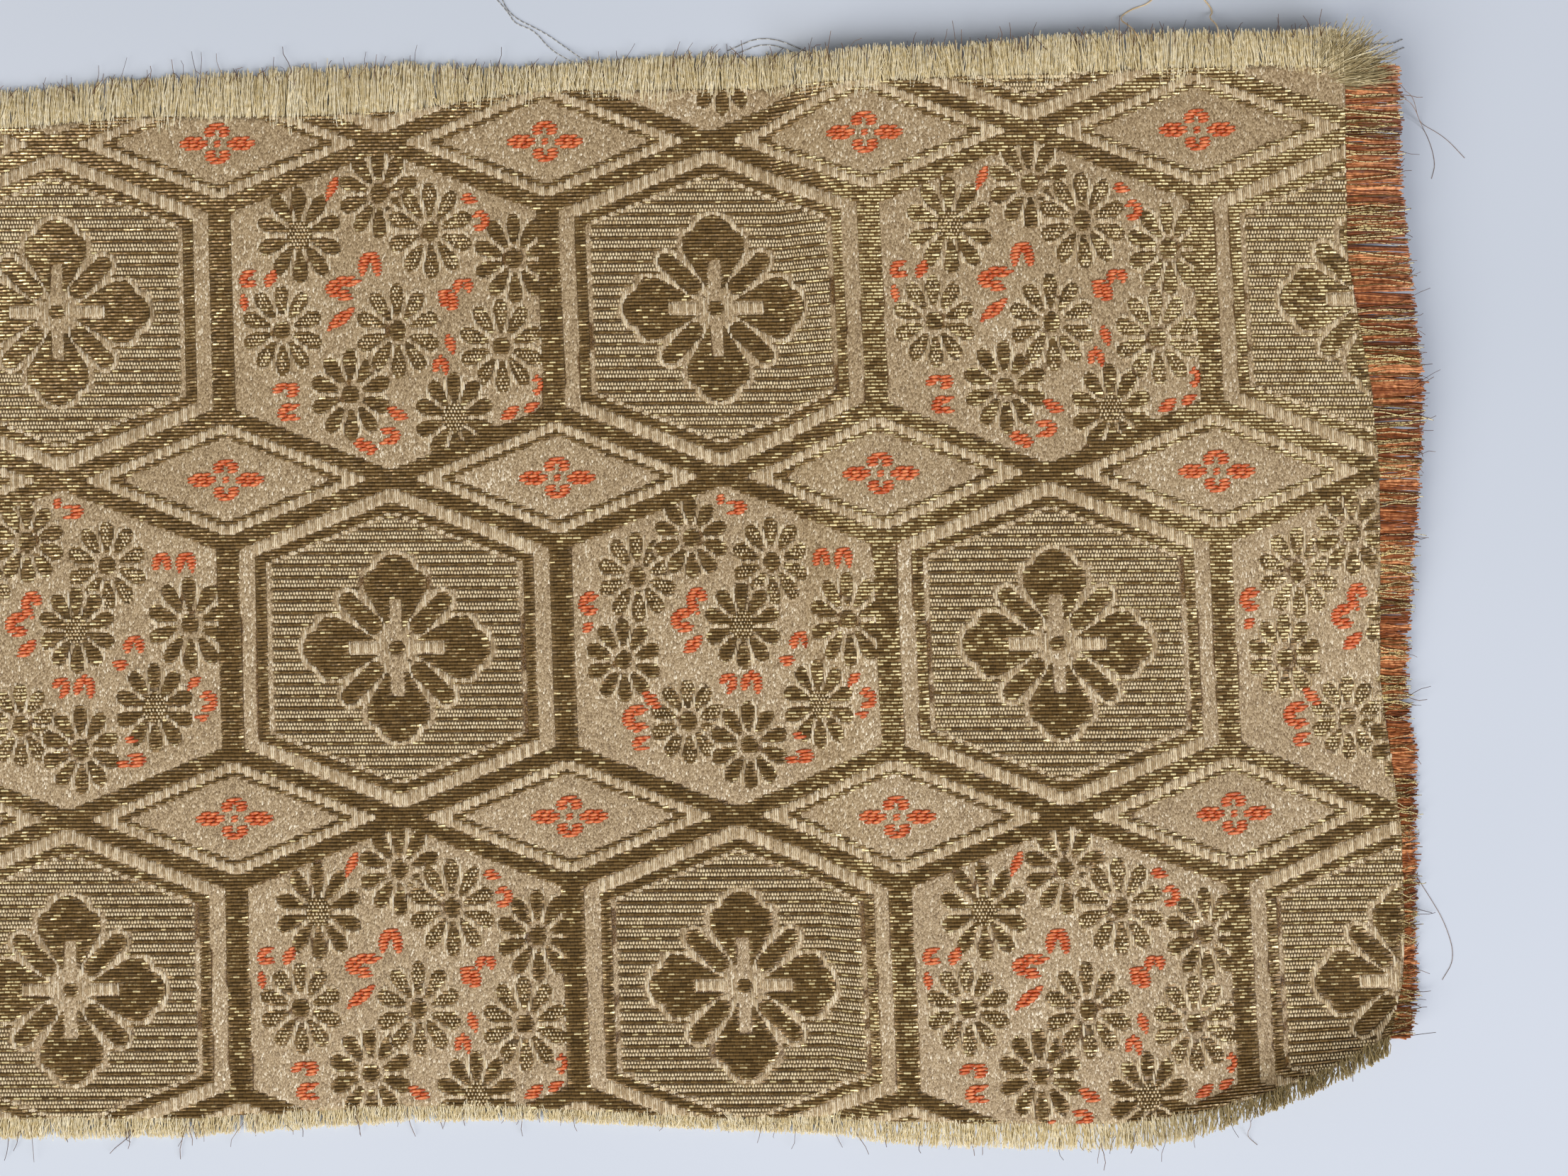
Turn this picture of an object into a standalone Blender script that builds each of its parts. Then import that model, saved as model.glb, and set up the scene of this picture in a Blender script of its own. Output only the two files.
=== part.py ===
"""A cut length of silk and gold brocade, lying face up with three frayed edges.

The cloth is one sheet. Its left half lies flat. At a soft crease it rises, arches over the
table to the right, comes down along the lower right edge, and its lower right corner curls
up. The loose thread ends along each frayed edge are combs of small locks on a narrow strip.
Tables are in millimetres on the table's plane, from a point near the middle of the cloth.
"""
import math
import random

import bmesh
import bpy
import numpy as np
from mathutils import Vector

MM = 0.001

# Thicknesses, and the gap between the cloth and each frayed strip
CLOTH_THICKNESS = 1.0
FRINGE_THICKNESS = 0.8
FRINGE_GAP = 0.7
STRIP_WIDTH = 0.5

# The plain cut on the left
LEFT_CUT = -111.0

# Each frayed edge: place along the edge, where the weave ends, where the thread ends reach
TOP_EDGE = (
    (-111.0, 54.4, 59.2),
    (-94.0, 55.2, 59.9),
    (-78.0, 56.6, 61.5),
    (-60.0, 56.6, 62.6),
    (-45.0, 57.4, 63.2),
    (-31.0, 59.6, 62.9),
    (-11.0, 59.9, 64.4),
    (5.0, 60.1, 64.0),
    (21.0, 60.4, 64.7),
    (40.0, 61.3, 66.1),
    (56.0, 61.7, 66.1),
    (66.0, 61.3, 66.2),
)
BOTTOM_EDGE = (
    (-111.0, -63.0, -65.6),
    (-94.0, -63.0, -65.7),
    (-70.0, -63.0, -65.4),
    (-46.0, -61.6, -63.6),
    (-31.0, -61.7, -63.4),
    (-7.0, -63.0, -64.6),
    (17.0, -62.6, -65.6),
    (32.0, -62.9, -66.0),
    (40.0, -62.8, -66.0),
    (48.0, -62.2, -65.2),
    (56.0, -60.6, -63.4),
    (64.0, -58.2, -60.8),
    (72.0, -54.0, -56.6),
)
RIGHT_EDGE = (
    (-54.0, 72.0, 74.5),
    (-47.0, 73.6, 75.6),
    (-41.0, 73.9, 75.4),
    (-29.0, 73.6, 75.6),
    (-20.0, 72.4, 75.6),
    (-11.0, 71.0, 74.3),
    (3.0, 70.6, 74.8),
    (14.0, 70.2, 75.2),
    (23.0, 69.4, 75.7),
    (28.0, 68.5, 75.2),
    (39.0, 66.6, 74.1),
    (49.0, 66.2, 72.8),
    (61.3, 66.0, 72.6),
)

# The crease: where it crosses the cloth's middle line, how far it leans for each mm up,
# how high the cloth rises past it, and over what width
CREASE_X = 2.4
CREASE_LEAN = -0.068
RISE = 3.4
RISE_WIDTH = 9.0

# Low along the right edge the arch comes back down to the table
FALL_START_X = 36.0
FALL_WIDTH = 34.0
FALL_TOP_Y = 20.0
FALL_HEIGHT = 42.0

# The upper right corner stands a little higher
LIFT = 1.5
LIFT_START_X = 48.0
LIFT_START_Y = 35.0
LIFT_SPAN = 22.0

# The lower right corner curls up past a slanting line
CURL_FOOT = (40.0, -62.0)
CURL_SLANT = math.radians(24.0)
CURL_RADIUS = 7.0
CURL_LOW = math.radians(32.0)
CURL_HIGH = math.radians(88.0)
CURL_SPREAD = 28.0

# The sheet's grid: faces across and up, with more of them past the crease and at the curl
FACES_ACROSS = 42
FACES_UP = 24
ACROSS_TO_CREASE = 15 / FACES_ACROSS
UP_TO_CURL = 0.30
CURL_BAND = 19.0

# Locks along each frayed edge, as a share of the pitch at the root and at the tip
TOP_LOCKS = 84
BOTTOM_LOCKS = 78
RIGHT_LOCKS = 56
ROOT_SHARE = 0.64
TIP_SHARE = 0.26
MIDDLE_SHARE = 0.52
MIDDLE_REACH = 0.55
SHORTEST_LOCK = 0.72
LEAST_LENGTH = 0.7
LEAN_SPREAD = 0.35
CORNER_FAN = 2.4

SEED = 11


def smooth(t):
    t = min(max(t, 0.0), 1.0)
    return t * t * (3.0 - 2.0 * t)


def edge_at(edge, place):
    """Where the weave ends and where the thread ends reach, at one place along an edge."""
    places, woven, tips = zip(*edge)
    return float(np.interp(place, places, woven)), float(np.interp(place, places, tips))


def height(x, y):
    """Height of the sheet's underside over the table, before the corner's curl."""
    past_crease = (x - CREASE_X - CREASE_LEAN * y) / RISE_WIDTH
    arch = RISE * math.sin(math.pi / 2 * min(max(past_crease, 0.0), 1.0))
    fall = smooth((x - FALL_START_X) / FALL_WIDTH) * smooth((FALL_TOP_Y - y) / FALL_HEIGHT)
    lift = LIFT * smooth((x - LIFT_START_X) / LIFT_SPAN) * smooth((y - LIFT_START_Y) / LIFT_SPAN)
    return arch * (1.0 - fall) + lift


def drape(x, y):
    """Puts a point of the laid out cloth where it lies, with the corner rolled up."""
    out = (math.sin(CURL_SLANT), -math.cos(CURL_SLANT))
    along = (math.cos(CURL_SLANT), math.sin(CURL_SLANT))
    dx, dy = x - CURL_FOOT[0], y - CURL_FOOT[1]
    past = dx * out[0] + dy * out[1]
    z = height(x, y)
    if past > 0.0:
        spread = smooth((dx * along[0] + dy * along[1]) / CURL_SPREAD)
        turn = CURL_LOW + (CURL_HIGH - CURL_LOW) * spread
        bent = min(past, CURL_RADIUS * turn)
        straight = past - bent
        angle = bent / CURL_RADIUS
        reach = CURL_RADIUS * math.sin(angle) + straight * math.cos(angle)
        z += CURL_RADIUS * (1.0 - math.cos(angle)) + straight * math.sin(angle)
        x -= (past - reach) * out[0]
        y -= (past - reach) * out[1]
    return Vector((x, y, z)) * MM


def make_material(name, colour, roughness, metallic):
    material = bpy.data.materials.new(name)
    material.use_nodes = True
    shader = material.node_tree.nodes["Principled BSDF"]
    shader.inputs["Base Color"].default_value = (*colour, 1.0)
    shader.inputs["Roughness"].default_value = roughness
    shader.inputs["Metallic"].default_value = metallic
    return material


def make_piece(name, bm, thickness, material):
    """A draped open surface, thickened upwards from its underside."""
    for vert in bm.verts:
        vert.co = drape(vert.co.x, vert.co.y)
    bm.normal_update()
    mesh = bpy.data.meshes.new(name)
    bm.to_mesh(mesh)
    bm.free()
    mesh.shade_smooth()
    piece = bpy.data.objects.new(name, mesh)
    piece.data.materials.append(material)
    shell = piece.modifiers.new("thickness", "SOLIDIFY")
    shell.thickness = thickness * MM
    shell.offset = 1.0
    shell.use_even_offset = True
    return piece


def make_cloth():
    """The woven sheet, from its plain left cut to its three frayed edges."""
    bm = bmesh.new()
    bmesh.ops.create_grid(bm, x_segments=FACES_ACROSS, y_segments=FACES_UP, size=1.0)
    for vert in bm.verts:
        across, up = (vert.co.x + 1.0) / 2.0, (vert.co.y + 1.0) / 2.0
        x = y = 0.0
        for _ in range(4):
            stops = (LEFT_CUT, CREASE_X + CREASE_LEAN * y, edge_at(RIGHT_EDGE, y)[0])
            x = float(np.interp(across, (0.0, ACROSS_TO_CREASE, 1.0), stops))
            bottom, top = edge_at(BOTTOM_EDGE, x)[0], edge_at(TOP_EDGE, x)[0]
            y = float(np.interp(up, (0.0, UP_TO_CURL, 1.0), (bottom, bottom + CURL_BAND, top)))
        vert.co = Vector((x, y, 0.0))
    material = make_material("silk_brocade_gold_weft", (0.40, 0.29, 0.17), 0.5, 0.2)
    return make_piece("cloth", bm, CLOTH_THICKNESS, material)


def make_fringe(name, edge, locks, place_range, point, fan_at, material):
    """A comb of locks on a strip beside one edge; point turns place and reach into x, y."""
    dice = random.Random(SEED + locks)
    bm = bmesh.new()
    columns = 2 * locks - 1
    bmesh.ops.create_grid(bm, x_segments=columns, y_segments=1, size=1.0)
    pitch = (place_range[1] - place_range[0]) / (locks - 1 + ROOT_SHARE)
    roots = []
    for vert in bm.verts:
        column = round((vert.co.x + 1.0) / 2.0 * columns)
        place = place_range[0] + (column // 2 + ROOT_SHARE * (column % 2)) * pitch
        reach = FRINGE_GAP + (STRIP_WIDTH if vert.co.y > 0.0 else 0.0)
        vert.co = Vector((place, reach, 0.0))
    bm.edges.ensure_lookup_table()
    for bm_edge in bm.edges:
        a, b = sorted(bm_edge.verts, key=lambda vert: vert.co.x)
        on_outside = min(a.co.y, b.co.y) > FRINGE_GAP + STRIP_WIDTH / 2
        if on_outside and abs(b.co.x - a.co.x - ROOT_SHARE * pitch) < pitch * 0.01:
            roots.append(bm_edge)
    for root in sorted(roots, key=lambda bm_edge: bm_edge.verts[0].co.x):
        middle = sum(vert.co.x for vert in root.verts) / 2
        woven, tip = edge_at(edge, middle)
        length = abs(tip - woven) * dice.uniform(SHORTEST_LOCK, 1.0) - FRINGE_GAP - STRIP_WIDTH
        length = max(length, LEAST_LENGTH)
        lean = dice.uniform(-LEAN_SPREAD, LEAN_SPREAD)
        lean += CORNER_FAN * smooth(1.0 - abs(middle - fan_at) / (4 * pitch))
        end = root
        for share, reach in ((MIDDLE_SHARE, MIDDLE_REACH), (TIP_SHARE, 1.0)):
            grown = bmesh.ops.extrude_edge_only(bm, edges=[end])["geom"]
            verts = [item for item in grown if isinstance(item, bmesh.types.BMVert)]
            end = next(item for item in grown if isinstance(item, bmesh.types.BMEdge))
            for vert in verts:
                side = math.copysign(share / 2 * pitch, vert.co.x - middle)
                vert.co.x = middle + side + lean * reach * reach
                vert.co.y = FRINGE_GAP + STRIP_WIDTH + length * reach
    for vert in bm.verts:
        x, y = point(vert.co.x, vert.co.y)
        vert.co = Vector((x, y, 0.0))
    bm.normal_update()
    if sum(face.normal.z for face in bm.faces) < 0.0:
        bmesh.ops.reverse_faces(bm, faces=bm.faces[:])
    return make_piece(name, bm, FRINGE_THICKNESS, material)


def stand_on_floor(pieces):
    """Parents the pieces to one empty, which puts the middle of their underside at 0, 0, 0."""
    depsgraph = bpy.context.evaluated_depsgraph_get()
    corners = []
    for piece in pieces:
        corners += [Vector(corner) for corner in piece.evaluated_get(depsgraph).bound_box]
    middle = bpy.data.objects.new("middle_of_underside", None)
    bpy.context.scene.collection.objects.link(middle)
    low = Vector(min(corner[axis] for corner in corners) for axis in range(3))
    high = Vector(max(corner[axis] for corner in corners) for axis in range(3))
    middle.location = (-(low.x + high.x) / 2, -(low.y + high.y) / 2, -low.z)
    for piece in pieces:
        piece.parent = middle


for old in list(bpy.data.objects):
    bpy.data.objects.remove(old, do_unlink=True)

cream_ends = make_material("cream_silk_ends", (0.62, 0.55, 0.34), 0.55, 0.0)
orange_ends = make_material("orange_silk_and_gold_ends", (0.50, 0.17, 0.07), 0.5, 0.1)

brocade = [
    make_cloth(),
    make_fringe(
        "fringe_top", TOP_EDGE, TOP_LOCKS, (LEFT_CUT + 0.3, TOP_EDGE[-1][0] - 0.2),
        lambda place, reach: (place, edge_at(TOP_EDGE, place)[0] + reach), -999.0, cream_ends,
    ),
    make_fringe(
        "fringe_bottom", BOTTOM_EDGE, BOTTOM_LOCKS, (LEFT_CUT + 0.3, BOTTOM_EDGE[-1][0] - 0.6),
        lambda place, reach: (place, edge_at(BOTTOM_EDGE, place)[0] - reach), -999.0, cream_ends,
    ),
    make_fringe(
        "fringe_right", RIGHT_EDGE, RIGHT_LOCKS, (RIGHT_EDGE[0][0] + 0.6, RIGHT_EDGE[-1][0] - 0.4),
        lambda place, reach: (edge_at(RIGHT_EDGE, place)[0] + reach, place),
        RIGHT_EDGE[-1][0], orange_ends,
    ),
]

collection = bpy.data.collections.new("brocade_panel")
bpy.context.scene.collection.children.link(collection)
for piece in brocade:
    collection.objects.link(piece)
stand_on_floor(brocade)
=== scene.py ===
"""A cut length of silk and gold brocade, lying face up on a pale table.

The cloth is worked out in millimetres: u and v count along the weft and the warp of the
pattern, x and y are places on the table, and up is the height above the cloth's underside.
"""
import math

import bpy
import numpy as np
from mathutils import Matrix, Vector


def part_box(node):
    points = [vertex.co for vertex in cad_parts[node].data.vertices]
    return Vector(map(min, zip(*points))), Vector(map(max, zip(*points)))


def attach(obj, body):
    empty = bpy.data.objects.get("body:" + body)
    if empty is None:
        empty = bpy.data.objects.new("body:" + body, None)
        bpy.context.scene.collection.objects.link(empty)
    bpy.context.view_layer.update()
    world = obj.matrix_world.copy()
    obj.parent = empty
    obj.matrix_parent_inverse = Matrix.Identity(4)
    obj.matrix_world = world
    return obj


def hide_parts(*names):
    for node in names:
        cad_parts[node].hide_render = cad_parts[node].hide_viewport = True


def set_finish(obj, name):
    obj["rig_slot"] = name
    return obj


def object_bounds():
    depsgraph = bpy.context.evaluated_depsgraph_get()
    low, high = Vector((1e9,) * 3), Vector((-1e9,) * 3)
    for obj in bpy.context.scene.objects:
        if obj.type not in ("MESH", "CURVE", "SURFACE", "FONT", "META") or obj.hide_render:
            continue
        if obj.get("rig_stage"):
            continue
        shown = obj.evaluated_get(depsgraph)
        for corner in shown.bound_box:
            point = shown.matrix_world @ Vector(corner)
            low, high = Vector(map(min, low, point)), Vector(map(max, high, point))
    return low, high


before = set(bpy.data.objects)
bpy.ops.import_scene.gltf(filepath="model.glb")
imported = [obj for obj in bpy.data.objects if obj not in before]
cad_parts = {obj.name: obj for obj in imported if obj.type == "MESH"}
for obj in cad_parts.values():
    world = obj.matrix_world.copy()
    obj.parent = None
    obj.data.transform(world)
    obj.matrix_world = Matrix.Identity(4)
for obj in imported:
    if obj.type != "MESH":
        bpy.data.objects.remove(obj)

cad_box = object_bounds()


# The camera
# It looks down at the middle of the view from a little below, as a hand-held camera does over
# a table, and takes in the cloth with some table above, below and to the right.
MM = 0.001
LEFT_CUT = -111.0
TOP_OF_WEAVE = 61.7
cloth_low, cloth_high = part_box("cloth")
TABLE_ORIGIN = (cloth_low[0] / MM - LEFT_CUT, cloth_high[1] / MM - TOP_OF_WEAVE)
VIEW_WIDTH = 188.0
VIEW_HEIGHT_ABOVE = 230.0
VIEW_TILT = math.radians(1.2)
SENSOR_WIDTH = 36.0

camera_data = bpy.data.cameras.new("camera_above")
camera_data.sensor_width = SENSOR_WIDTH
camera_data.lens = SENSOR_WIDTH * VIEW_HEIGHT_ABOVE / VIEW_WIDTH
camera_data.clip_start = 0.01
camera = bpy.data.objects.new("camera_above", camera_data)
camera.location = (
    TABLE_ORIGIN[0] * MM,
    (TABLE_ORIGIN[1] - VIEW_HEIGHT_ABOVE * math.sin(VIEW_TILT)) * MM,
    VIEW_HEIGHT_ABOVE * math.cos(VIEW_TILT) * MM,
)
camera.rotation_euler = (VIEW_TILT, 0, 0)
bpy.context.scene.collection.objects.link(camera)
bpy.context.scene.camera = camera
bpy.context.scene.view_settings.view_transform = "Standard"


# The table and the light
# A smooth, slightly bluish white board, and two broad soft lamps at the lower left and the
# lower right. Nothing bright hangs straight above, so gold that lies flat stays brown, and
# gold that is tilted towards a lamp flashes. The gold's colour also holds painted flashes.
def linear(code):
    """The linear colour of an sRGB hex code."""
    parts = [int(code[i:i + 2], 16) / 255 for i in (1, 3, 5)]
    low = 0.04045
    return [c / 12.92 if c <= low else ((c + 0.055) / 1.055) ** 2.4 for c in parts] + [1.0]


def add_node(tree, kind, inputs=(), stops=(), **settings):
    """Add a node with its settings and colour stops. An input is a value or another's output."""
    node = tree.nodes.new(kind)
    for name, value in settings.items():
        setattr(node, name, value)
    for name, value in dict(inputs).items():
        if isinstance(value, bpy.types.NodeSocket):
            tree.links.new(value, node.inputs[name])
        else:
            node.inputs[name].default_value = value
    for place, (at, code) in enumerate(stops):
        ramp = node.color_ramp.elements
        stop = ramp[place] if place < len(ramp) else ramp.new(at)
        stop.position = at
        stop.color = linear(code)
    return node


def new_material(name):
    """An empty material and its node tree."""
    material = bpy.data.materials.new(name)
    material.use_nodes = True
    material.node_tree.nodes.clear()
    return material, material.node_tree


def painted_board():
    """Painted board: dull, nearly white, with the faintest grain."""
    material, tree = new_material("painted_board")
    where = add_node(tree, "ShaderNodeTexCoord")
    grain = add_node(
        tree, "ShaderNodeTexNoise", {"Vector": where.outputs["Object"], "Scale": 9.0, "Detail": 2.0}
    )
    colour = add_node(
        tree,
        "ShaderNodeValToRGB",
        {"Fac": grain.outputs["Fac"]},
        stops=((0.3, "#C0C9D6"), (0.7, "#C6CEDB")),
    )
    surface = add_node(
        tree,
        "ShaderNodeBsdfPrincipled",
        {"Base Color": colour.outputs["Color"], "Roughness": 0.6, "Specular IOR Level": 0.2},
    )
    add_node(tree, "ShaderNodeOutputMaterial", {"Surface": surface.outputs["BSDF"]})
    return material


TABLE_SIZE = 4000.0
TABLE_LEVEL = -0.05
bpy.ops.mesh.primitive_plane_add(size=TABLE_SIZE * MM, location=(0, 0, TABLE_LEVEL * MM))
table = bpy.context.object
table.name = "table_top"
table.data.materials.append(painted_board())
table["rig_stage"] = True

# Each lamp: name, place in metres, width and length in metres, watts
LAMPS = (
    ("lamp_left", (-0.62, -0.66, 0.72), 0.50, 1.00, 12.0, "#FFF9F0"),
    ("lamp_right", (0.70, -0.56, 0.76), 0.50, 1.00, 11.0, "#FBFAFF"),
)
AIM = Vector((0.01, 0.0, 0.0))
for name, place, width, length, watts, tone in LAMPS:
    lamp_data = bpy.data.lights.new(name, "AREA")
    lamp_data.shape = "RECTANGLE"
    lamp_data.size = width
    lamp_data.size_y = length
    lamp_data.energy = watts
    lamp_data.color = linear(tone)[:3]
    lamp = bpy.data.objects.new(name, lamp_data)
    lamp.location = place
    lamp.rotation_euler = (AIM - Vector(place)).to_track_quat("-Z", "Y").to_euler()
    bpy.context.scene.collection.objects.link(lamp)

world = bpy.data.worlds.new("soft_room")
world.use_nodes = True
world.node_tree.nodes["Background"].inputs["Color"].default_value = linear("#EEEDEA")
world.node_tree.nodes["Background"].inputs["Strength"].default_value = 0.25
bpy.context.scene.world = world


# How the cloth lies
# The left half is flat. At a soft crease the cloth rises and arches over the table, it comes
# down along the lower right edge, its right edge lifts a little at the top, and the lower
# right corner curls up. These are the sizes of the solid cloth.
CREASE_X = 2.4
CREASE_LEAN = -0.068
RISE = 3.4
RISE_WIDTH = 9.0
FALL_START_X = 36.0
FALL_WIDTH = 34.0
FALL_TOP_Y = 20.0
FALL_HEIGHT = 42.0
LIFT = 1.5
LIFT_START_X = 48.0
LIFT_START_Y = 35.0
LIFT_SPAN = 22.0
CURL_FOOT = (40.0, -62.0)
CURL_SLANT = math.radians(24)
CURL_RADIUS = 7.0
CURL_LOW = math.radians(32)
CURL_HIGH = math.radians(88)
CURL_SPREAD = 28.0

# Each edge: place along it, where the weave ends, where the thread ends reach
TOP_EDGE = np.array((
    (-111.0, 54.4, 59.2), (-94.0, 55.2, 59.9), (-78.0, 56.6, 61.5), (-60.0, 56.6, 62.6),
    (-45.0, 57.4, 63.2), (-31.0, 59.6, 62.9), (-11.0, 59.9, 64.4), (5.0, 60.1, 64.0),
    (21.0, 60.4, 64.7), (40.0, 61.3, 66.1), (56.0, 61.7, 66.1), (66.0, 61.3, 66.2),
))
BOTTOM_EDGE = np.array((
    (-111.0, -63.0, -65.6), (-94.0, -63.0, -65.7), (-70.0, -63.0, -65.4), (-46.0, -61.6, -63.6),
    (-31.0, -61.7, -63.4), (-7.0, -63.0, -64.6), (17.0, -62.6, -65.6), (32.0, -62.9, -66.0),
    (40.0, -62.8, -66.0), (48.0, -62.2, -65.2), (56.0, -60.6, -63.4), (64.0, -58.2, -60.8),
    (72.0, -54.0, -56.6),
))
RIGHT_EDGE = np.array((
    (-54.0, 72.0, 74.5), (-47.0, 73.6, 75.6), (-41.0, 73.9, 75.4), (-29.0, 73.6, 75.6),
    (-20.0, 72.4, 75.6), (-11.0, 71.0, 74.3), (3.0, 70.6, 74.8), (14.0, 70.2, 75.2),
    (23.0, 69.4, 75.7), (28.0, 68.5, 75.2), (39.0, 66.6, 74.1), (49.0, 66.2, 72.8),
    (61.3, 66.0, 72.6),
))
WEAVE, TIPS = 1, 2


def edge(table_of_edge, where, column=WEAVE):
    """How far the weave or its thread ends reach, at each place along an edge."""
    return np.interp(where, table_of_edge[:, 0], table_of_edge[:, column])


def smooth(t):
    """A soft step from 0 to 1."""
    t = np.clip(t, 0, 1)
    return t * t * (3 - 2 * t)


def past_crease(x, y):
    """How far up the rise past the crease a place lies, from 0 to 1."""
    return np.clip((x - CREASE_X - CREASE_LEAN * y) / RISE_WIDTH, 0, 1)


def drape(x, y):
    """Where a place on the flat cloth's underside lies once it is draped."""
    arch = RISE * np.sin(math.pi / 2 * past_crease(x, y))
    fall = smooth((x - FALL_START_X) / FALL_WIDTH) * smooth((FALL_TOP_Y - y) / FALL_HEIGHT)
    lift = LIFT * smooth((x - LIFT_START_X) / LIFT_SPAN) * smooth((y - LIFT_START_Y) / LIFT_SPAN)
    z = arch * (1 - fall) + lift
    out_x, out_y = math.sin(CURL_SLANT), -math.cos(CURL_SLANT)
    dx, dy = x - CURL_FOOT[0], y - CURL_FOOT[1]
    past = np.maximum(dx * out_x + dy * out_y, 0)
    spread = smooth((-dx * out_y + dy * out_x) / CURL_SPREAD)
    bent = np.minimum(past, CURL_RADIUS * (CURL_LOW + (CURL_HIGH - CURL_LOW) * spread))
    straight = past - bent
    angle = bent / CURL_RADIUS
    back = past - CURL_RADIUS * np.sin(angle) - straight * np.cos(angle)
    z = z + CURL_RADIUS * (1 - np.cos(angle)) + straight * np.sin(angle)
    return np.stack((x - back * out_x, y - back * out_y, z), axis=-1)


def place(x, y, up):
    """The place in metres of a point that stands up above the underside at x and y."""
    step = 0.05
    at = drape(x, y)
    normal = np.cross(drape(x + step, y) - at, drape(x, y + step) - at)
    normal /= np.linalg.norm(normal, axis=-1, keepdims=True)
    at = at + normal * np.asarray(up)[..., None]
    return (at + (*TABLE_ORIGIN, 0)) * MM


# The pattern
# A tortoiseshell lattice: gold bands cross and leave hexagons and lozenges. Every other
# hexagon holds a four-petalled flower on ribbed gold, and the rest hold chrysanthemums and
# small orange leaves on satin. The loom draws it in steps of one weft and one cell of warp.
HEXAGON_WIDTH = 39.64
HEXAGON_PITCH = 40.44
WEFT = HEXAGON_PITCH / 98
CELL = HEXAGON_WIDTH / 38
PATTERN_ORIGIN = (-27.13, 13.19)
WARP_LEAN = 0.0389
WEFT_SLOPE = 0.0066
TOP_SPREAD = 0.00018
TAKEN_BY_RISE = 1.13

SATIN, GOLD, BEADED, ORANGE, RIBBED, RAISED = range(6)


def on_table(u, v):
    """Where a place in the pattern lies on the table, before the cloth is draped."""
    y = PATTERN_ORIGIN[1] + v + WEFT_SLOPE * u
    flat_x = PATTERN_ORIGIN[0] + u * (1 - TOP_SPREAD * v) - WARP_LEAN * v
    x = flat_x
    for _ in range(5):
        x = flat_x - TAKEN_BY_RISE * smooth(past_crease(x, y))
    return x, y


def in_pattern(x, y):
    """Which place in the pattern lies at x and y on the table."""
    u = x - PATTERN_ORIGIN[0]
    for _ in range(3):
        v = y - PATTERN_ORIGIN[1] - WEFT_SLOPE * u
        shift = WARP_LEAN * v + TAKEN_BY_RISE * smooth(past_crease(x, y))
        u = (x - PATTERN_ORIGIN[0] + shift) / (1 - TOP_SPREAD * v)
    return u, v


# Borders of a hexagon, each counted inwards from the middle of its band: the band itself,
# a cream line, a gold line and a thin cream line. Rows count wefts, sides are millimetres.
BORDER_ROWS = (2.5, 6.5, 9.5, 10.5)
BORDER_SIDES = (1.36, 3.16, 4.46, 4.96)
# The stepped gold line in a lozenge: the row where it is highest, the cell where it gets
# there, counted from the middle of the hexagon, and how far each step runs beside the next
LOZENGE_LINE = 12
LOZENGE_CELLS = 18
STEP_OVERLAP = 0.3
# The orange flower in a lozenge: places of its petals and bows, half widths and half heights
LOZENGE_PETAL_AT, LOZENGE_PETAL = 2.85, (1.8, 0.95)
LOZENGE_BOW_AT, LOZENGE_BOW = 1.5, (1.5, 0.95)
LOZENGE_DOT = 0.4

# The four-petalled flower: distance from its middle, half width of a petal there
PETAL = np.array((
    (1.4, 0.42), (4.1, 2.04), (6.8, 3.66), (8.5, 3.74), (9.2, 3.06), (9.4, 2.3),
    (10.0, 2.04), (10.5, 1.7), (11.1, 0.68), (11.2, 0.0),
))
PETAL_OUTLINE, TIP_OUTLINE = 0.52, 0.45
LEAF_FROM, LEAF_TO, LEAF_HALF = 2.7, 9.1, 1.06
STAMEN_FROM, STAMEN_TO, STAMEN_HALF = 1.2, 5.7, 0.72
HEART, HEART_RING = 0.95, 1.45

# Chrysanthemums: place in the hexagon, radius, beaded petals or plain, beaded heart or plain
FLOWERS_A = (
    (-10.2, 9.1, 5.5, 0, 1), (-0.5, 14.0, 5.2, 0, 0), (5.6, 9.5, 5.5, 1, 0),
    (15.6, 6.1, 5.2, 0, 0), (-12.6, -2.3, 5.2, 1, 0), (13.7, -4.4, 5.4, 1, 0),
    (-4.6, -10.1, 5.2, 0, 0), (1.3, -2.5, 5.4, 1, 0), (7.8, -12.9, 5.1, 0, 1),
)
FLOWERS_B = (
    (-10.7, 8.3, 5.1, 1, 0), (-4.1, 12.9, 4.7, 0, 0), (5.4, 10.0, 5.1, 1, 0),
    (15.1, 3.0, 5.4, 0, 0), (-12.7, -1.7, 4.8, 0, 0), (1.6, 2.4, 4.9, 0, 1),
    (-5.3, -9.0, 4.8, 1, 0), (1.8, -11.9, 5.0, 0, 0), (10.7, -7.0, 5.0, 0, 1),
)
# A chrysanthemum petal: share of the way from the heart to the tip, share of full half width
CHRYSANTHEMUM_PETALS = 10
CHRYSANTHEMUM_PETAL = np.array((
    (0.0, 0.1), (0.25, 0.47), (0.46, 0.78), (0.68, 1.0), (0.87, 0.86), (0.97, 0.5), (1.0, 0.0),
))
PETAL_HALF = 0.92
# Cream gap between petals, and the share of a petal's length from which it stands raised
PETAL_GAP, GAP_FROM = 0.4, 0.1
# Plain gold rim round the beads of a beaded petal, and how far up the petal they go
PETAL_RIM, BEADS_UP_TO = 0.3, 0.93
# Each flower is a little narrower and taller than round, and clears the middle for its petals
CHRYSANTHEMUM_STRETCH = (0.95, 1.06)
CLEARED_MIDDLE = 0.7
CHRYSANTHEMUM_HEART, CHRYSANTHEMUM_RING = 1.1, 1.6

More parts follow.
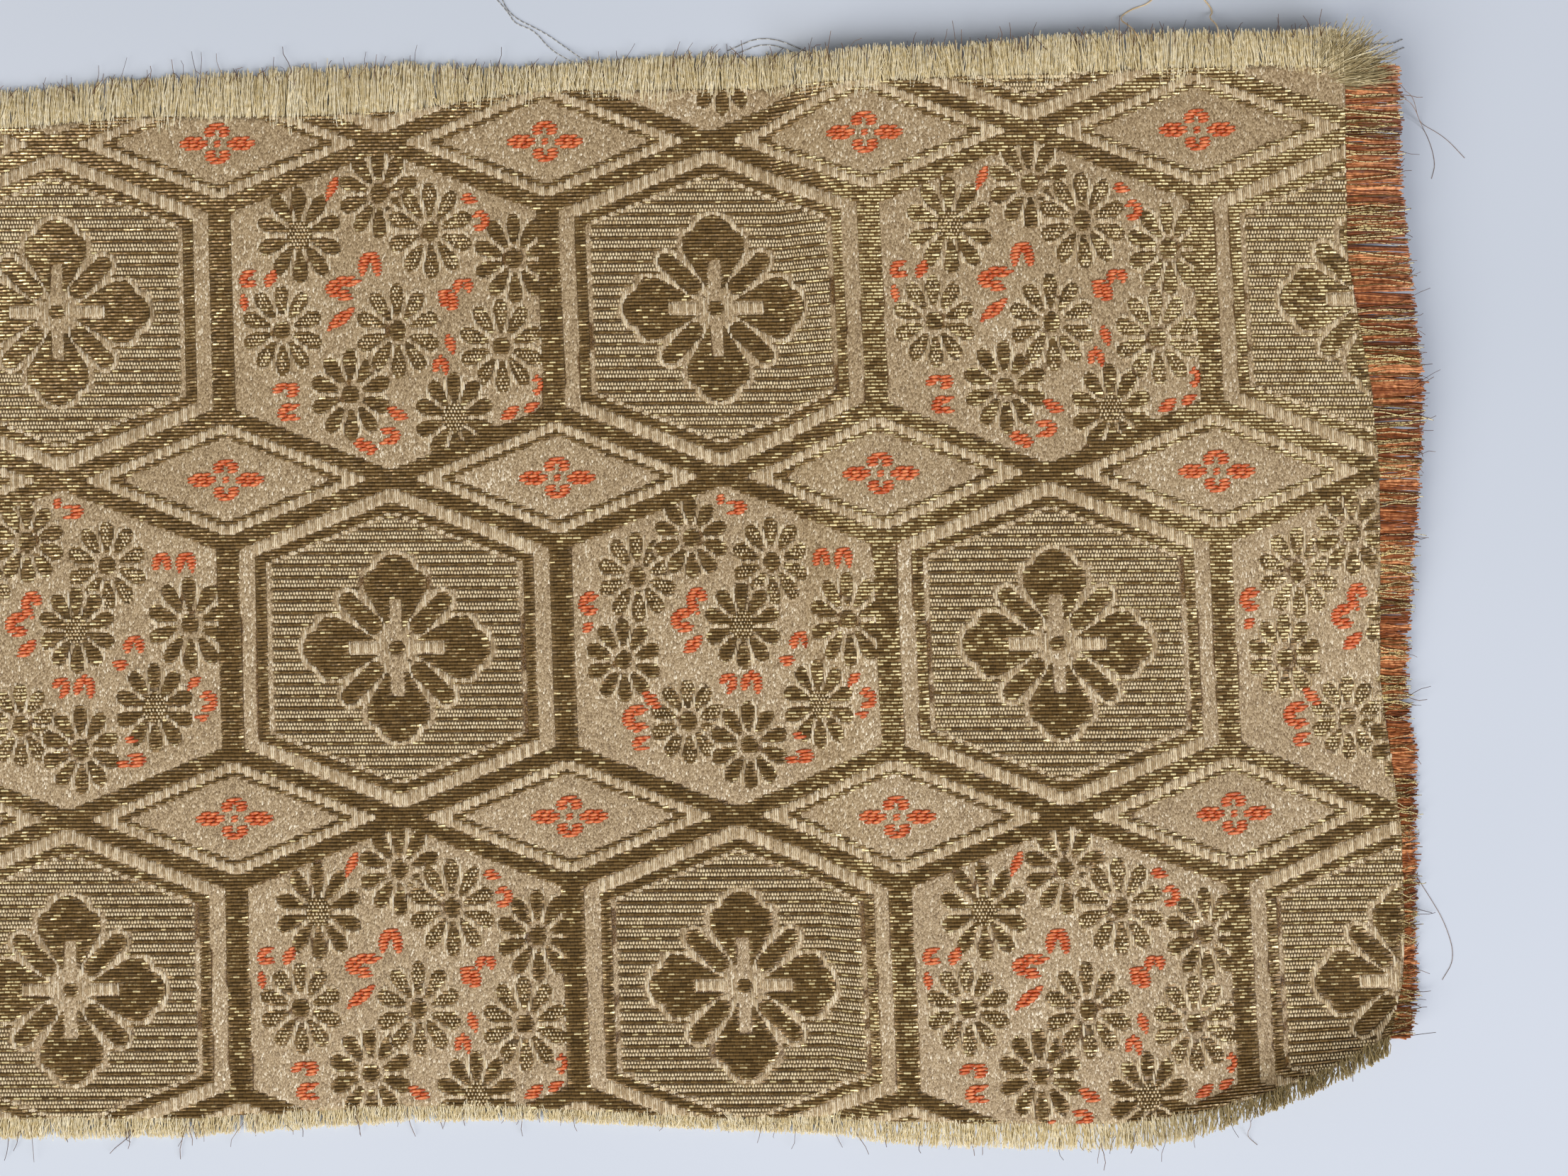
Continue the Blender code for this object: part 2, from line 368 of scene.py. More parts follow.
# Orange leaves: place in the hexagon, half width and half height of a leaf, or of a bow that
# is open on one side, and the angle at which the leaf lies or the bow opens
LEAF, BOW = "leaf", "bow"
LEAVES_A = (
    (-6.1, 14.8, 1.6, 0.55, LEAF, 65), (10.4, 13.3, 1.1, 0.6, LEAF, -20),
    (11.6, 10.7, 1.15, 1.15, BOW, 180), (-1.8, 5.3, 1.35, 1.85, BOW, -90),
    (-4.8, 2.7, 2.4, 1.35, BOW, -20), (-5.5, -1.0, 2.1, 0.75, LEAF, 38),
    (-16.4, 3.9, 1.15, 1.15, BOW, 10), (-13.8, 3.9, 1.1, 0.7, LEAF, 60),
    (-17.1, 1.1, 1.0, 0.5, LEAF, 100), (9.3, 2.9, 1.2, 1.0, BOW, -90),
    (7.5, 1.3, 1.6, 1.1, LEAF, -50), (7.6, -4.1, 1.2, 0.6, LEAF, -70),
    (6.3, -6.9, 0.95, 1.35, BOW, -90), (-12.3, -9.5, 1.6, 1.0, BOW, -120),
    (-11.8, -12.2, 1.6, 1.15, BOW, 0), (1.0, -12.5, 1.4, 0.7, LEAF, -30),
    (-0.3, -15.1, 1.5, 1.05, BOW, 180), (-3.0, -16.3, 1.6, 0.8, LEAF, -25),
    (17.8, -9.1, 0.6, 1.1, BOW, 180), (17.1, -11.6, 1.1, 0.6, LEAF, 30),
    (14.4, -12.5, 1.3, 0.75, LEAF, 35),
)
LEAVES_B = (
    (-0.4, 17.5, 0.75, 0.5, LEAF, 90), (1.1, 16.5, 1.55, 0.95, BOW, 180),
    (11.9, 10.2, 1.1, 1.45, BOW, -90), (14.8, 10.2, 1.15, 1.5, BOW, -90),
    (-16.5, 5.1, 1.3, 1.4, BOW, 0), (-16.8, 2.3, 0.85, 0.6, LEAF, 60),
    (-3.7, 5.5, 1.2, 1.6, BOW, -45), (-5.3, 3.1, 1.55, 1.45, BOW, 0),
    (-4.4, 0.1, 1.5, 0.8, LEAF, 45), (8.4, 0.4, 1.25, 1.25, BOW, -90),
    (6.7, -1.7, 1.0, 0.7, LEAF, -20), (-0.4, -4.4, 1.0, 1.25, BOW, -135),
    (2.4, -4.6, 1.25, 1.55, BOW, -100), (-9.6, -6.4, 1.4, 0.65, LEAF, -45),
    (-11.4, -8.6, 1.75, 1.55, BOW, 0), (-10.8, -11.6, 1.25, 0.9, BOW, 0),
    (15.4, -4.0, 1.1, 0.6, LEAF, 45), (17.0, -6.3, 1.1, 1.25, BOW, 180),
    (16.3, -8.1, 0.95, 0.42, LEAF, -10), (7.8, -10.9, 0.9, 0.42, LEAF, -20),
    (7.6, -13.2, 1.9, 0.95, BOW, 150),
)
# How pointed a leaf's ends are and how full its sides, and a bow's hollow and opening
LEAF_POINT, LEAF_FULLNESS = 1.25, 1.5
BOW_INSIDE = 0.24
BOW_OPENING = math.radians(38)


def in_leaf(du, dv, half_u, half_v, form, turn):
    """Whether places lie in one orange leaf or bow."""
    turn = math.radians(turn)
    if form == LEAF:
        along = du * math.cos(turn) + dv * math.sin(turn)
        across = dv * math.cos(turn) - du * math.sin(turn)
        along, across = np.abs(along) / half_u, np.abs(across) / half_v
        return along**LEAF_POINT + across**LEAF_FULLNESS < 1
    around = np.hypot(du / half_u, dv / half_v)
    off = np.abs((np.arctan2(dv, du) - turn + math.pi) % (2 * math.pi) - math.pi)
    return (around < 1) & (around > BOW_INSIDE) & (off > BOW_OPENING)


def draw_chrysanthemum(code, du, dv, radius, beaded, beaded_heart):
    """Draw one flower into the codes, over whatever was drawn there before."""
    share = 2 * math.pi / CHRYSANTHEMUM_PETALS
    du, dv = du / CHRYSANTHEMUM_STRETCH[0], dv / CHRYSANTHEMUM_STRETCH[1]
    off = np.arctan2(dv, du) % share - share / 2
    far = np.hypot(du, dv)
    along, across = far * np.cos(off), np.abs(far * np.sin(off))
    reach = (along - CHRYSANTHEMUM_HEART) / (radius - CHRYSANTHEMUM_HEART)
    half = PETAL_HALF * np.interp(reach, *CHRYSANTHEMUM_PETAL.T, left=0, right=0)
    near = along < radius
    code[(along < radius + PETAL_GAP) & (across < half + PETAL_GAP)] = SATIN
    code[far < CLEARED_MIDDLE * radius] = SATIN
    code[near & (reach > GAP_FROM) & (across < half + PETAL_GAP)] = RAISED
    past_heart = along > CHRYSANTHEMUM_RING
    code[near & (across < half) & past_heart] = GOLD
    if beaded:
        code[(across < half - PETAL_RIM) & (reach < BEADS_UP_TO) & past_heart] = BEADED
    code[far < CHRYSANTHEMUM_RING] = BEADED if beaded_heart else SATIN
    if not beaded_heart:
        code[far < CHRYSANTHEMUM_HEART] = GOLD


def draw_four_petals(code, hu, hv):
    """Draw the four-petalled flower with its leaves, stamens and heart into the codes."""
    far, side = np.maximum(np.abs(hu), np.abs(hv)), np.minimum(np.abs(hu), np.abs(hv))
    half = np.interp(far, *PETAL.T, left=0, right=0)
    outline = np.maximum.reduce([
        np.interp(far + shift, *PETAL.T, left=0, right=0)
        for shift in (-TIP_OUTLINE, 0, TIP_OUTLINE)
    ])
    code[(outline > 0) & (side < outline + PETAL_OUTLINE)] = RAISED
    along = (np.abs(hu) + np.abs(hv)) / math.sqrt(2)
    across = np.abs(np.abs(hu) - np.abs(hv)) / math.sqrt(2)
    past_end = np.maximum(LEAF_FROM + LEAF_HALF - along, along - LEAF_TO + LEAF_HALF)
    from_leaf = np.hypot(across, np.maximum(past_end, 0))
    code[from_leaf < LEAF_HALF + PETAL_OUTLINE] = RAISED
    code[side < half] = GOLD
    code[from_leaf < LEAF_HALF] = GOLD
    code[(far > STAMEN_FROM) & (far < STAMEN_TO) & (side < STAMEN_HALF)] = RAISED
    code[np.hypot(hu, hv) < HEART_RING] = RAISED
    code[np.hypot(hu, hv) < HEART] = GOLD


def draw_lozenge_flower(code, du, dv):
    """Draw the small orange flower in a lozenge: two pointed petals, two bows and a dot."""
    for side in (-1, 1):
        code[in_leaf(du - side * LOZENGE_PETAL_AT, dv, *LOZENGE_PETAL, LEAF, 0)] = ORANGE
        code[in_leaf(du, dv - side * LOZENGE_BOW_AT, *LOZENGE_BOW, BOW, -90 * side)] = ORANGE
    code[np.hypot(du, dv) < LOZENGE_DOT] = ORANGE


def chart(u, v):
    """What the loom weaves at each place: one of the six codes."""
    column, row = np.floor(u / HEXAGON_WIDTH), np.floor(v / HEXAGON_PITCH)
    hu = u - (column + 0.5) * HEXAGON_WIDTH
    hv = v - (row + 0.5) * HEXAGON_PITCH
    weft_v = (np.floor(v / WEFT) + 0.5) * WEFT - (row + 0.5) * HEXAGON_PITCH
    cell = np.floor(np.abs(hu) / CELL)
    rows_in = HEXAGON_PITCH / 2 / WEFT - cell - 0.5 - np.abs(weft_v) / WEFT
    side_in = HEXAGON_WIDTH / 2 - np.abs(hu)
    code = np.full(np.shape(hu), SATIN)

    in_lozenge = rows_in < -BORDER_ROWS[0]
    row_out = np.floor((HEXAGON_PITCH / 2 - np.abs(weft_v)) / WEFT)
    code[in_lozenge & (row_out > LOZENGE_LINE - LOZENGE_CELLS + cell)] = RAISED
    for overlap in (-STEP_OVERLAP, STEP_OVERLAP):
        step = np.floor((np.abs(hu) + overlap) / CELL)
        code[in_lozenge & (row_out == LOZENGE_LINE - LOZENGE_CELLS + step)] = GOLD
    lozenge_u = hu - np.copysign(HEXAGON_WIDTH / 2, hu)
    lozenge_v = hv - np.copysign(HEXAGON_PITCH / 2, hv)
    flower = np.full(np.shape(hu), SATIN)
    draw_lozenge_flower(flower, lozenge_u, lozenge_v)
    code[in_lozenge & (flower == ORANGE)] = ORANGE

    border = sum(
        ((rows_in > rows) & (side_in > side)).astype(int)
        for rows, side in zip(BORDER_ROWS, BORDER_SIDES)
    )
    with_ribs = (column - row) % 2 == 0
    petals = np.full(np.shape(hu), RIBBED)
    draw_four_petals(petals, hu, hv)
    code = np.where(with_ribs & ((border == 1) | (border == 3)), RAISED, code)
    code = np.where(with_ribs & (border == 2), GOLD, code)
    code = np.where(with_ribs & (border == 4), petals, code)
    for odd_row, flowers, leaves in ((0, FLOWERS_A, LEAVES_A), (1, FLOWERS_B, LEAVES_B)):
        scattered = np.full(np.shape(hu), SATIN)
        for at_u, at_v, radius, beaded, beaded_heart in flowers:
            draw_chrysanthemum(scattered, hu - at_u, hv - at_v, radius, beaded, beaded_heart)
        for at_u, at_v, half_u, half_v, form, turn in leaves:
            scattered[in_leaf(hu - at_u, hv - at_v, half_u, half_v, form, turn)] = ORANGE
        here = ~with_ribs & (border > 0) & (row % 2 == odd_row)
        code = np.where(here, scattered, code)
    band = (np.abs(rows_in) <= BORDER_ROWS[0]) | ((rows_in > 0) & (side_in < BORDER_SIDES[0]))
    return np.where(band, GOLD, code)


# The satin ground
# Pinkish beige silk satin, about 0.7 mm thick with the pattern wefts that run on its back.
# It is puffed up a little where it stands between gold wefts, which pull it down.
def make_piece(name, points, faces, material, slot, smooth_faces=False, **fields):
    """One mesh piece from points in metres and arrays of faces, laid out flat for its maps.

    Each of the fields is a row of values, one for each point or one for each face.
    """
    mesh = bpy.data.meshes.new(name)
    corners = np.concatenate([f.ravel() for f in faces]).astype(np.int32)
    sizes = np.concatenate([np.full(len(f), f.shape[1]) for f in faces])
    starts = np.concatenate(([0], np.cumsum(sizes)[:-1])).astype(np.int32)
    mesh.vertices.add(len(points))
    mesh.vertices.foreach_set("co", points.astype(np.float32).ravel())
    mesh.loops.add(len(corners))
    mesh.loops.foreach_set("vertex_index", corners)
    mesh.polygons.add(len(sizes))
    mesh.polygons.foreach_set("loop_start", starts)
    mesh.polygons.foreach_set("use_smooth", np.full(len(sizes), smooth_faces))
    mesh.update(calc_edges=True)
    first, second, third = (points[corners[starts + k]] for k in range(3))
    faces_up = np.cross(second - first, third - first)[:, 2] >= 0
    low, high = points[:, :2].min(axis=0), points[:, :2].max(axis=0)
    flat = (points[corners, :2] - low) / (high - low)
    upper = np.repeat(faces_up, sizes)
    flat[:, 1] = np.where(upper, flat[:, 1] * 0.69, 0.71 + flat[:, 1] * 0.28)
    layout = mesh.uv_layers.new(name="OFBake")
    layout.data.foreach_set("uv", flat.astype(np.float32).ravel())
    for field, values in fields.items():
        domain = "POINT" if len(values) == len(points) else "FACE"
        field_data = mesh.attributes.new(field, "FLOAT", domain).data
        field_data.foreach_set("value", np.asarray(values, np.float32))
    mesh.validate()
    mesh.materials.append(material)
    piece = bpy.data.objects.new(name, mesh)
    bpy.context.scene.collection.objects.link(piece)
    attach(piece, "root")
    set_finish(piece, slot)
    return piece


def silk_satin():
    """Silk satin weave: beige, softly lustrous, made of short upright floats of warp."""
    material, tree = new_material("silk_satin")
    float_width, float_length = 0.14, 0.3
    where = add_node(tree, "ShaderNodeTexCoord")
    stretch = add_node(
        tree,
        "ShaderNodeMapping",
        {"Vector": where.outputs["Object"],
         "Scale": (1 / (float_width * MM), 1 / (float_length * MM), 1 / (float_length * MM))},
    )
    floats = add_node(
        tree, "ShaderNodeTexVoronoi", {"Vector": stretch.outputs["Vector"], "Scale": 1.0}
    )
    patches = add_node(
        tree, "ShaderNodeTexNoise", {"Vector": where.outputs["Object"], "Scale": 1 / (20 * MM)}
    )
    tone = add_node(
        tree,
        "ShaderNodeMix",
        {"Factor": 0.25, "A": floats.outputs["Color"], "B": patches.outputs["Fac"]},
    )
    silk = add_node(
        tree,
        "ShaderNodeValToRGB",
        {"Fac": tone.outputs["Result"]},
        stops=((0.15, "#725D40"), (0.42, "#9C8665"), (0.7, "#B7A280"), (0.86, "#F5EBD4")),
    )
    # Painted shade: the tint darkens the silk to brown under the gold and the ribs.
    shown = add_node(tree, "ShaderNodeAttribute", attribute_name="tint")
    painted_shade_under_gold = add_node(
        tree,
        "ShaderNodeValToRGB",
        {"Fac": shown.outputs["Fac"]},
        stops=((0.3, "#A0885C"), (0.5, "#FFFFFF")),
    )
    colour = add_node(
        tree,
        "ShaderNodeMix",
        {"Factor": 1.0, "A": silk.outputs["Color"], "B": painted_shade_under_gold.outputs["Color"]},
        data_type="RGBA",
        blend_type="MULTIPLY",
    )
    relief = add_node(
        tree,
        "ShaderNodeBump",
        {"Height": floats.outputs["Distance"], "Strength": 0.9, "Distance": 0.1 * MM},
        invert=True,
    )
    surface = add_node(
        tree,
        "ShaderNodeBsdfPrincipled",
        {"Base Color": colour.outputs["Result"], "Normal": relief.outputs["Normal"],
         "Roughness": 0.42, "Specular IOR Level": 0.4, "Sheen Weight": 0.08,
         "Sheen Roughness": 0.35},
    )
    add_node(tree, "ShaderNodeOutputMaterial", {"Surface": surface.outputs["BSDF"]})
    return material


GROUND_THICKNESS = 0.68
PUFF = 0.13
# How light the ground is painted under the ribs, between 0, full painted shade under plain gold,
# and 1 in the open
UNSHADED_SHARE_UNDER_RIBS = 0.38
FRONT_COLUMNS, FRONT_ROWS = 272, 200
BACK_STEP = 8


def ground_grid():
    """Places on the table of the ground's grid of points, from the left cut to the right."""
    across, along = np.meshgrid(
        np.linspace(0, 1, FRONT_COLUMNS + 1), np.linspace(0, 1, FRONT_ROWS + 1), indexing="ij"
    )
    x = LEFT_CUT + across * (edge(RIGHT_EDGE, 0) - LEFT_CUT)
    y = np.zeros_like(x)
    for _ in range(8):
        bottom = edge(BOTTOM_EDGE, x)
        y = bottom + along * (edge(TOP_EDGE, x) - bottom)
        x = LEFT_CUT + across * (edge(RIGHT_EDGE, y) - LEFT_CUT)
    return x, y


def blurred(flags):
    """Flags on a grid as numbers from 0 to 1, softened by their four neighbours."""
    own = flags.astype(float)
    around = np.pad(own, 1, mode="edge")
    beside = around[:-2, 1:-1] + around[2:, 1:-1] + around[1:-1, :-2] + around[1:-1, 2:]
    return (own * 4 + beside) / 8


def make_ground():
    """The ground as one closed sheet: a fine face, a coarse back and a rim between them."""
    x, y = ground_grid()
    code = chart(*in_pattern(x, y))
    # Painted shade: the ground's tint is darkened under the gold and the ribs, brown in the gaps
    # between wefts, and the blur spills it onto the cream beside them as a painted shadow.
    puffed, light = blurred(np.isin(code, (SATIN, RAISED))), blurred(code != GOLD)
    light = np.where(code == RIBBED, UNSHADED_SHARE_UNDER_RIBS, light)
    front = place(x, y, GROUND_THICKNESS + PUFF * puffed)
    back = place(x, y, 0 * x)[::BACK_STEP, ::BACK_STEP]
    number = np.arange(front[..., 0].size).reshape(front.shape[:2])
    under = front[..., 0].size + np.arange(back[..., 0].size).reshape(back.shape[:2])
    face = np.stack((number[:-1, :-1], number[1:, :-1], number[1:, 1:], number[:-1, 1:]), -1)
    lining = np.stack((under[:-1, :-1], under[:-1, 1:], under[1:, 1:], under[1:, :-1]), -1)
    rims = []
    sides = (
        (number[:, 0], under[:, 0], True), (number[-1, :], under[-1, :], True),
        (number[:, -1], under[:, -1], False), (number[0, :], under[0, :], False),
    )
    for fine, coarse, forwards in sides:
        for k in range(len(coarse) - 1):
            upper = fine[k * BACK_STEP:(k + 1) * BACK_STEP + 1]
            ring = np.concatenate((upper[::-1], coarse[k:k + 2]))
            rims.append(ring if forwards else ring[::-1])
    points = np.concatenate((front.reshape(-1, 3), back.reshape(-1, 3)))
    faces = [face.reshape(-1, 4), lining.reshape(-1, 4), np.array(rims)]
    shown = np.concatenate((light.ravel(), np.ones(back[..., 0].size)))
    return make_piece("satin_ground", points, faces, silk_satin(), "brocade", True, tint=shown)


ground = make_ground()
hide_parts("cloth")


# The raised warps
# Round the lozenges and the ribbed hexagons, and between and round the petals of the flowers,
# the cream warps float free in short upright strands. Their ends overlap the gold beside
# them, which gives each line its toothed edge.
SAMPLES_PER_WEFT = 4
WARPS_PER_CELL = 4
# A longer stretch is bound down like the satin, whose own grain shows it
SHORTEST_FLOAT, LONGEST_FLOAT = 0.05, 3.0
LOWEST_V, HIGHEST_V = -78.0, 52.0
LEFT_U, RIGHT_U = -87 * CELL, 103 * CELL
WARP_HALF = 0.5 * CELL / WARPS_PER_CELL
WARP_FOOT, WARP_CROWN = 0.06, 0.15
WARP_JITTER = 0.02
WARP_LEAN_MOST = 0.05
# How each of a cell's warps overlaps the gold beside it, and how light it is painted: painted light
# and shade across the cell's puff
SCALLOP = np.array((0.0, 0.15, 0.13, -0.03))
SCALLOP_JITTER = (-0.03, 0.05)
SCALLOP_PAINTED_LIGHT = np.array((0.86, 1.04, 1.12, 0.78))
# A float's cross section, as shares of its half width and its height
RIDGE = ((-1, 0), (0, 1), (1, 0))


def raised_silk():
    """The satin's silk in loose floats: each is lighter or darker by its tint, a random tone and
    painted light and shade for the way it is turned.
    """
    material, tree = new_material("raised_silk")
    tint = add_node(tree, "ShaderNodeAttribute", attribute_name="tint")
    where = add_node(tree, "ShaderNodeTexCoord")
    fibre_width, fibre_length = 0.1, 0.6
    fibres = add_node(
        tree,
        "ShaderNodeMapping",
        {"Vector": where.outputs["Object"],
         "Scale": (1 / (fibre_width * MM), 1 / (fibre_length * MM), 1 / (fibre_length * MM))},
    )
    streaks = add_node(
        tree, "ShaderNodeTexNoise", {"Vector": fibres.outputs["Vector"], "Scale": 1.0}
    )
    tone = add_node(
        tree,
        "ShaderNodeMath",
        {0: tint.outputs["Fac"], 1: streaks.outputs["Fac"]},
        operation="MULTIPLY",
    )
    colour = add_node(
        tree,
        "ShaderNodeValToRGB",
        {"Fac": tone.outputs["Value"]},
        stops=((0.15, "#7E6847"), (0.38, "#BBA683"), (0.64, "#F2E7CD")),
    )
    surface = add_node(
        tree,
        "ShaderNodeBsdfPrincipled",
        {"Base Color": colour.outputs["Color"], "Roughness": 0.42, "Specular IOR Level": 0.45},
    )
    add_node(tree, "ShaderNodeOutputMaterial", {"Surface": surface.outputs["BSDF"]})
    return material


def inside_weave(x, y):
    """Whether places on the table lie on the cloth."""
    across = (x > LEFT_CUT) & (x < edge(RIGHT_EDGE, y))
    return across & (y > edge(BOTTOM_EDGE, x)) & (y < edge(TOP_EDGE, x))


def stretches(flags):
    """The row, first place and end of each unbroken stretch of true flags."""
    steps = np.diff(np.pad(flags.astype(np.int8), ((0, 0), (1, 1))), axis=1)
    row, first = np.nonzero(steps == 1)
    end = np.nonzero(steps == -1)[1]
    return row, first, end


def spindles(u, v, half_width, foot, crown, ring):
    """Closed floats between two pointed ends, whose places are the pairs u and v."""
    length = np.hypot(u[1] - u[0], v[1] - v[0])
    over_u, over_v = -(v[1] - v[0]) / length, (u[1] - u[0]) / length
    points = []
    for t, rise in ((0, 0), (0.2, 1), (0.8, 1), (1, 0)):
        at_u, at_v = u[0] + (u[1] - u[0]) * t, v[0] + (v[1] - v[0]) * t
        for side, up in ring if rise else ((0, 0),):
            wide = side * half_width
            points.append(place(*on_table(at_u + over_u * wide, at_v + over_v * wide),
                                foot + crown * up + 0 * at_u))
    points = np.stack(points, axis=1)
    sides, last = len(ring), points.shape[1] - 1
    start = np.arange(len(length))[:, None] * (last + 1)
    triangles, quads = [], []
    for k in range(sides):
        a, b = 1 + k, 1 + (k + 1) % sides
        triangles += [start + np.array((0, b, a)), start + np.array((last, a + sides, b + sides))]
        quads.append(start + np.array((a, b, b + sides, a + sides)))
    return points.reshape(-1, 3), [np.concatenate(triangles), np.concatenate(quads)]


def make_raised_warps():
    """Upright floats in each column of warp where the chart raises it."""
    random = np.random.default_rng(5)
    u_line = np.arange(LEFT_U + WARP_HALF, RIGHT_U, 2 * WARP_HALF)
    v_line = np.arange(LOWEST_V, HIGHEST_V, WEFT / SAMPLES_PER_WEFT)
    u, v = np.meshgrid(u_line, v_line, indexing="ij")
    column, first, end = stretches((chart(u, v) == RAISED) & inside_weave(*on_table(u, v)))
    low, high = v_line[first], v_line[end - 1]
    loose = (high - low > SHORTEST_FLOAT) & (high - low < LONGEST_FLOAT)
    column, low, high = column[loose], low[loose], high[loose]
    in_cell = column % WARPS_PER_CELL
    u = u_line[column] + random.uniform(-WARP_JITTER, WARP_JITTER, len(column))
    low = low - SCALLOP[in_cell] - random.uniform(*SCALLOP_JITTER, len(u))
    high = high + SCALLOP[in_cell] + random.uniform(*SCALLOP_JITTER, len(u))
    lean = random.uniform(-WARP_LEAN_MOST, WARP_LEAN_MOST, len(u))
    points, faces = spindles(
        (u - lean, u + lean), (low, high), WARP_HALF, GROUND_THICKNESS + WARP_FOOT,
        PUFF + WARP_CROWN - WARP_FOOT, RIDGE,
    )
    # The tint is painted light and shade across each cell's puff, times a random tone.
    tint = SCALLOP_PAINTED_LIGHT[in_cell] * random.uniform(0.75, 1.25, len(u))
    tint = np.repeat(tint, 2 + 2 * len(RIDGE))
    return make_piece("raised_warps", points, faces, raised_silk(), "brocade", tint=tint)


make_raised_warps()


# The gold wefts
# Flat gilt strips wound on silk, one in every shed, floating over the ground where the
# pattern is gold. Fine warps tie them down at even steps, and each float between two ties is
# tilted its own way, so some of them flash. Some floats also get a painted flash in their
# colour, and each strip painted light along its crown and painted shade at its edges. Each end
# dives into the ground.
def wound_thread(name, dark, middle_tone, bright):
    """Metal strip wound on silk, its colour painted: dark at its ties, from the crossing warp and
    painted shade in the dip, painted shade at its edges, painted light along its crown and a
    painted flash where its shine is high.
    """
    material, tree = new_material(name)
    tie, crown, shine = (
        add_node(tree, "ShaderNodeAttribute", attribute_name=field).outputs["Fac"]
        for field in ("tie", "crown", "shine")
    )
    half_a_float = 0.5
    # Darker near each tie: the warp that crosses it there, and painted shade where the strip dips.
    from_tie = add_node(
        tree, "ShaderNodeMath", {0: tie, 1: half_a_float}, operation="PINGPONG"
    ).outputs["Value"]
    open_float = add_node(
        tree,
        "ShaderNodeMapRange",
        {"Value": from_tie, "From Min": 0.03, "From Max": 0.14, "To Min": 0.5, "To Max": 1.0},
        interpolation_type="SMOOTHSTEP",
    )
    # Painted light along the strip's crown and painted shade at its edges.
    painted_crown_light = add_node(
        tree,
        "ShaderNodeMapRange",
        {"Value": crown, "From Min": 0.2, "From Max": 0.8, "To Min": 0.4, "To Max": 1.0},
        interpolation_type="SMOOTHSTEP",
    )
    where = add_node(tree, "ShaderNodeTexCoord")
    speckle = add_node(
        tree, "ShaderNodeTexNoise", {"Vector": where.outputs["Object"], "Scale": 1 / (0.25 * MM)}
    )
    grain = add_node(
        tree,
        "ShaderNodeMapRange",
        {"Value": speckle.outputs["Fac"], "From Min": 0.3, "From Max": 0.7, "To Min": 0.75,
         "To Max": 1.15},
    )
    # Painted light: crown, painted shine and a grain of random tone multiply into how light the
    # colour is; a high shine is a painted flash.
    lit = open_float.outputs["Result"]
    for share in (painted_crown_light.outputs["Result"], shine, grain.outputs["Result"]):
        product = add_node(tree, "ShaderNodeMath", {0: lit, 1: share}, operation="MULTIPLY")
        lit = product.outputs["Value"]
    colour = add_node(
        tree,
        "ShaderNodeValToRGB",
        {"Fac": lit},
        stops=((0.05, dark), (0.4, middle_tone), (0.62, middle_tone), (0.9, bright)),
    )
    swell = add_node(
        tree,
        "ShaderNodeBump",
        {"Height": from_tie, "Strength": 0.7, "Distance": 0.1 * MM},
    )
    surface = add_node(
        tree,
        "ShaderNodeBsdfPrincipled",
        {"Base Color": colour.outputs["Color"], "Normal": swell.outputs["Normal"],
         "Metallic": 0.35, "Roughness": 0.33},
    )
    add_node(tree, "ShaderNodeOutputMaterial", {"Surface": surface.outputs["BSDF"]})
    return material


SAMPLES_PER_CELL = 8
TIE_SPACING = 0.84
TIE_JITTER = 0.16
WEFT_JITTER = 0.015
RIDGE_JITTER = 0.03
STRIP_ROLL = 0.04
LEAST_RUN = 0.25
LEAST_FLOAT = 0.2
# How much painted shine a float has, how much more it gets with a painted flash, and a strip's cut
# end
DULL, PAINTED_FLASH, END_SHINE = (0.3, 0.75), (0.25, 0.5), 0.3


def painted_flash_share(x, y):
    """The share of the gold floats given a painted flash: few on the flat, many on the arch and at
    the far left, in patches.

    The patches are two slow waves, set where the real cloth shines and where it stays dull.
    """
    patches = 0.6 + 0.45 * np.cos(0.121 * (x - 4)) + 0.25 * np.sin(0.16 * x - 0.21 * y + 2)
    patches = np.clip(patches, 0.1, 1.1)
    arched = smooth((x - CREASE_X + 6) / 14) * (0.5 + 0.5 * smooth((y + 45) / 70))
    far_left = smooth((-80 - x) / 16)
    # Where the curled corner turns away from the lamps no float gets a painted flash: painted
    # shade.
    dx, dy = x - CURL_FOOT[0], y - CURL_FOOT[1]
    turned_away = smooth((dx * math.sin(CURL_SLANT) - dy * math.cos(CURL_SLANT) + 8) / 8)
    return (0.09 + (0.85 * arched + 0.6 * far_left) * patches) * (1 - turned_away)


def weft_rows(v_rows, codes):
    """The runs along some rows of weft where the chart shows one of the codes."""
    u_line = np.arange(LEFT_U, RIGHT_U, CELL / SAMPLES_PER_CELL)
    u, v = np.meshgrid(u_line, v_rows)
    flags = np.isin(chart(u, v), codes) & inside_weave(*on_table(u, v))
    row, first, end = stretches(flags)
    spare = u_line[1] - u_line[0]
    start, stop = u_line[first] - spare / 2, u_line[end - 1] + spare / 2
    long_enough = stop - start > LEAST_RUN
    return row[long_enough], start[long_enough], stop[long_enough]


def numbered(count):
    """The run that each place belongs to, and its number there, for runs of so many places."""
    run = np.repeat(np.arange(len(count)), count)
    return run, np.arange(len(run)) - np.repeat(np.cumsum(count) - count, count)


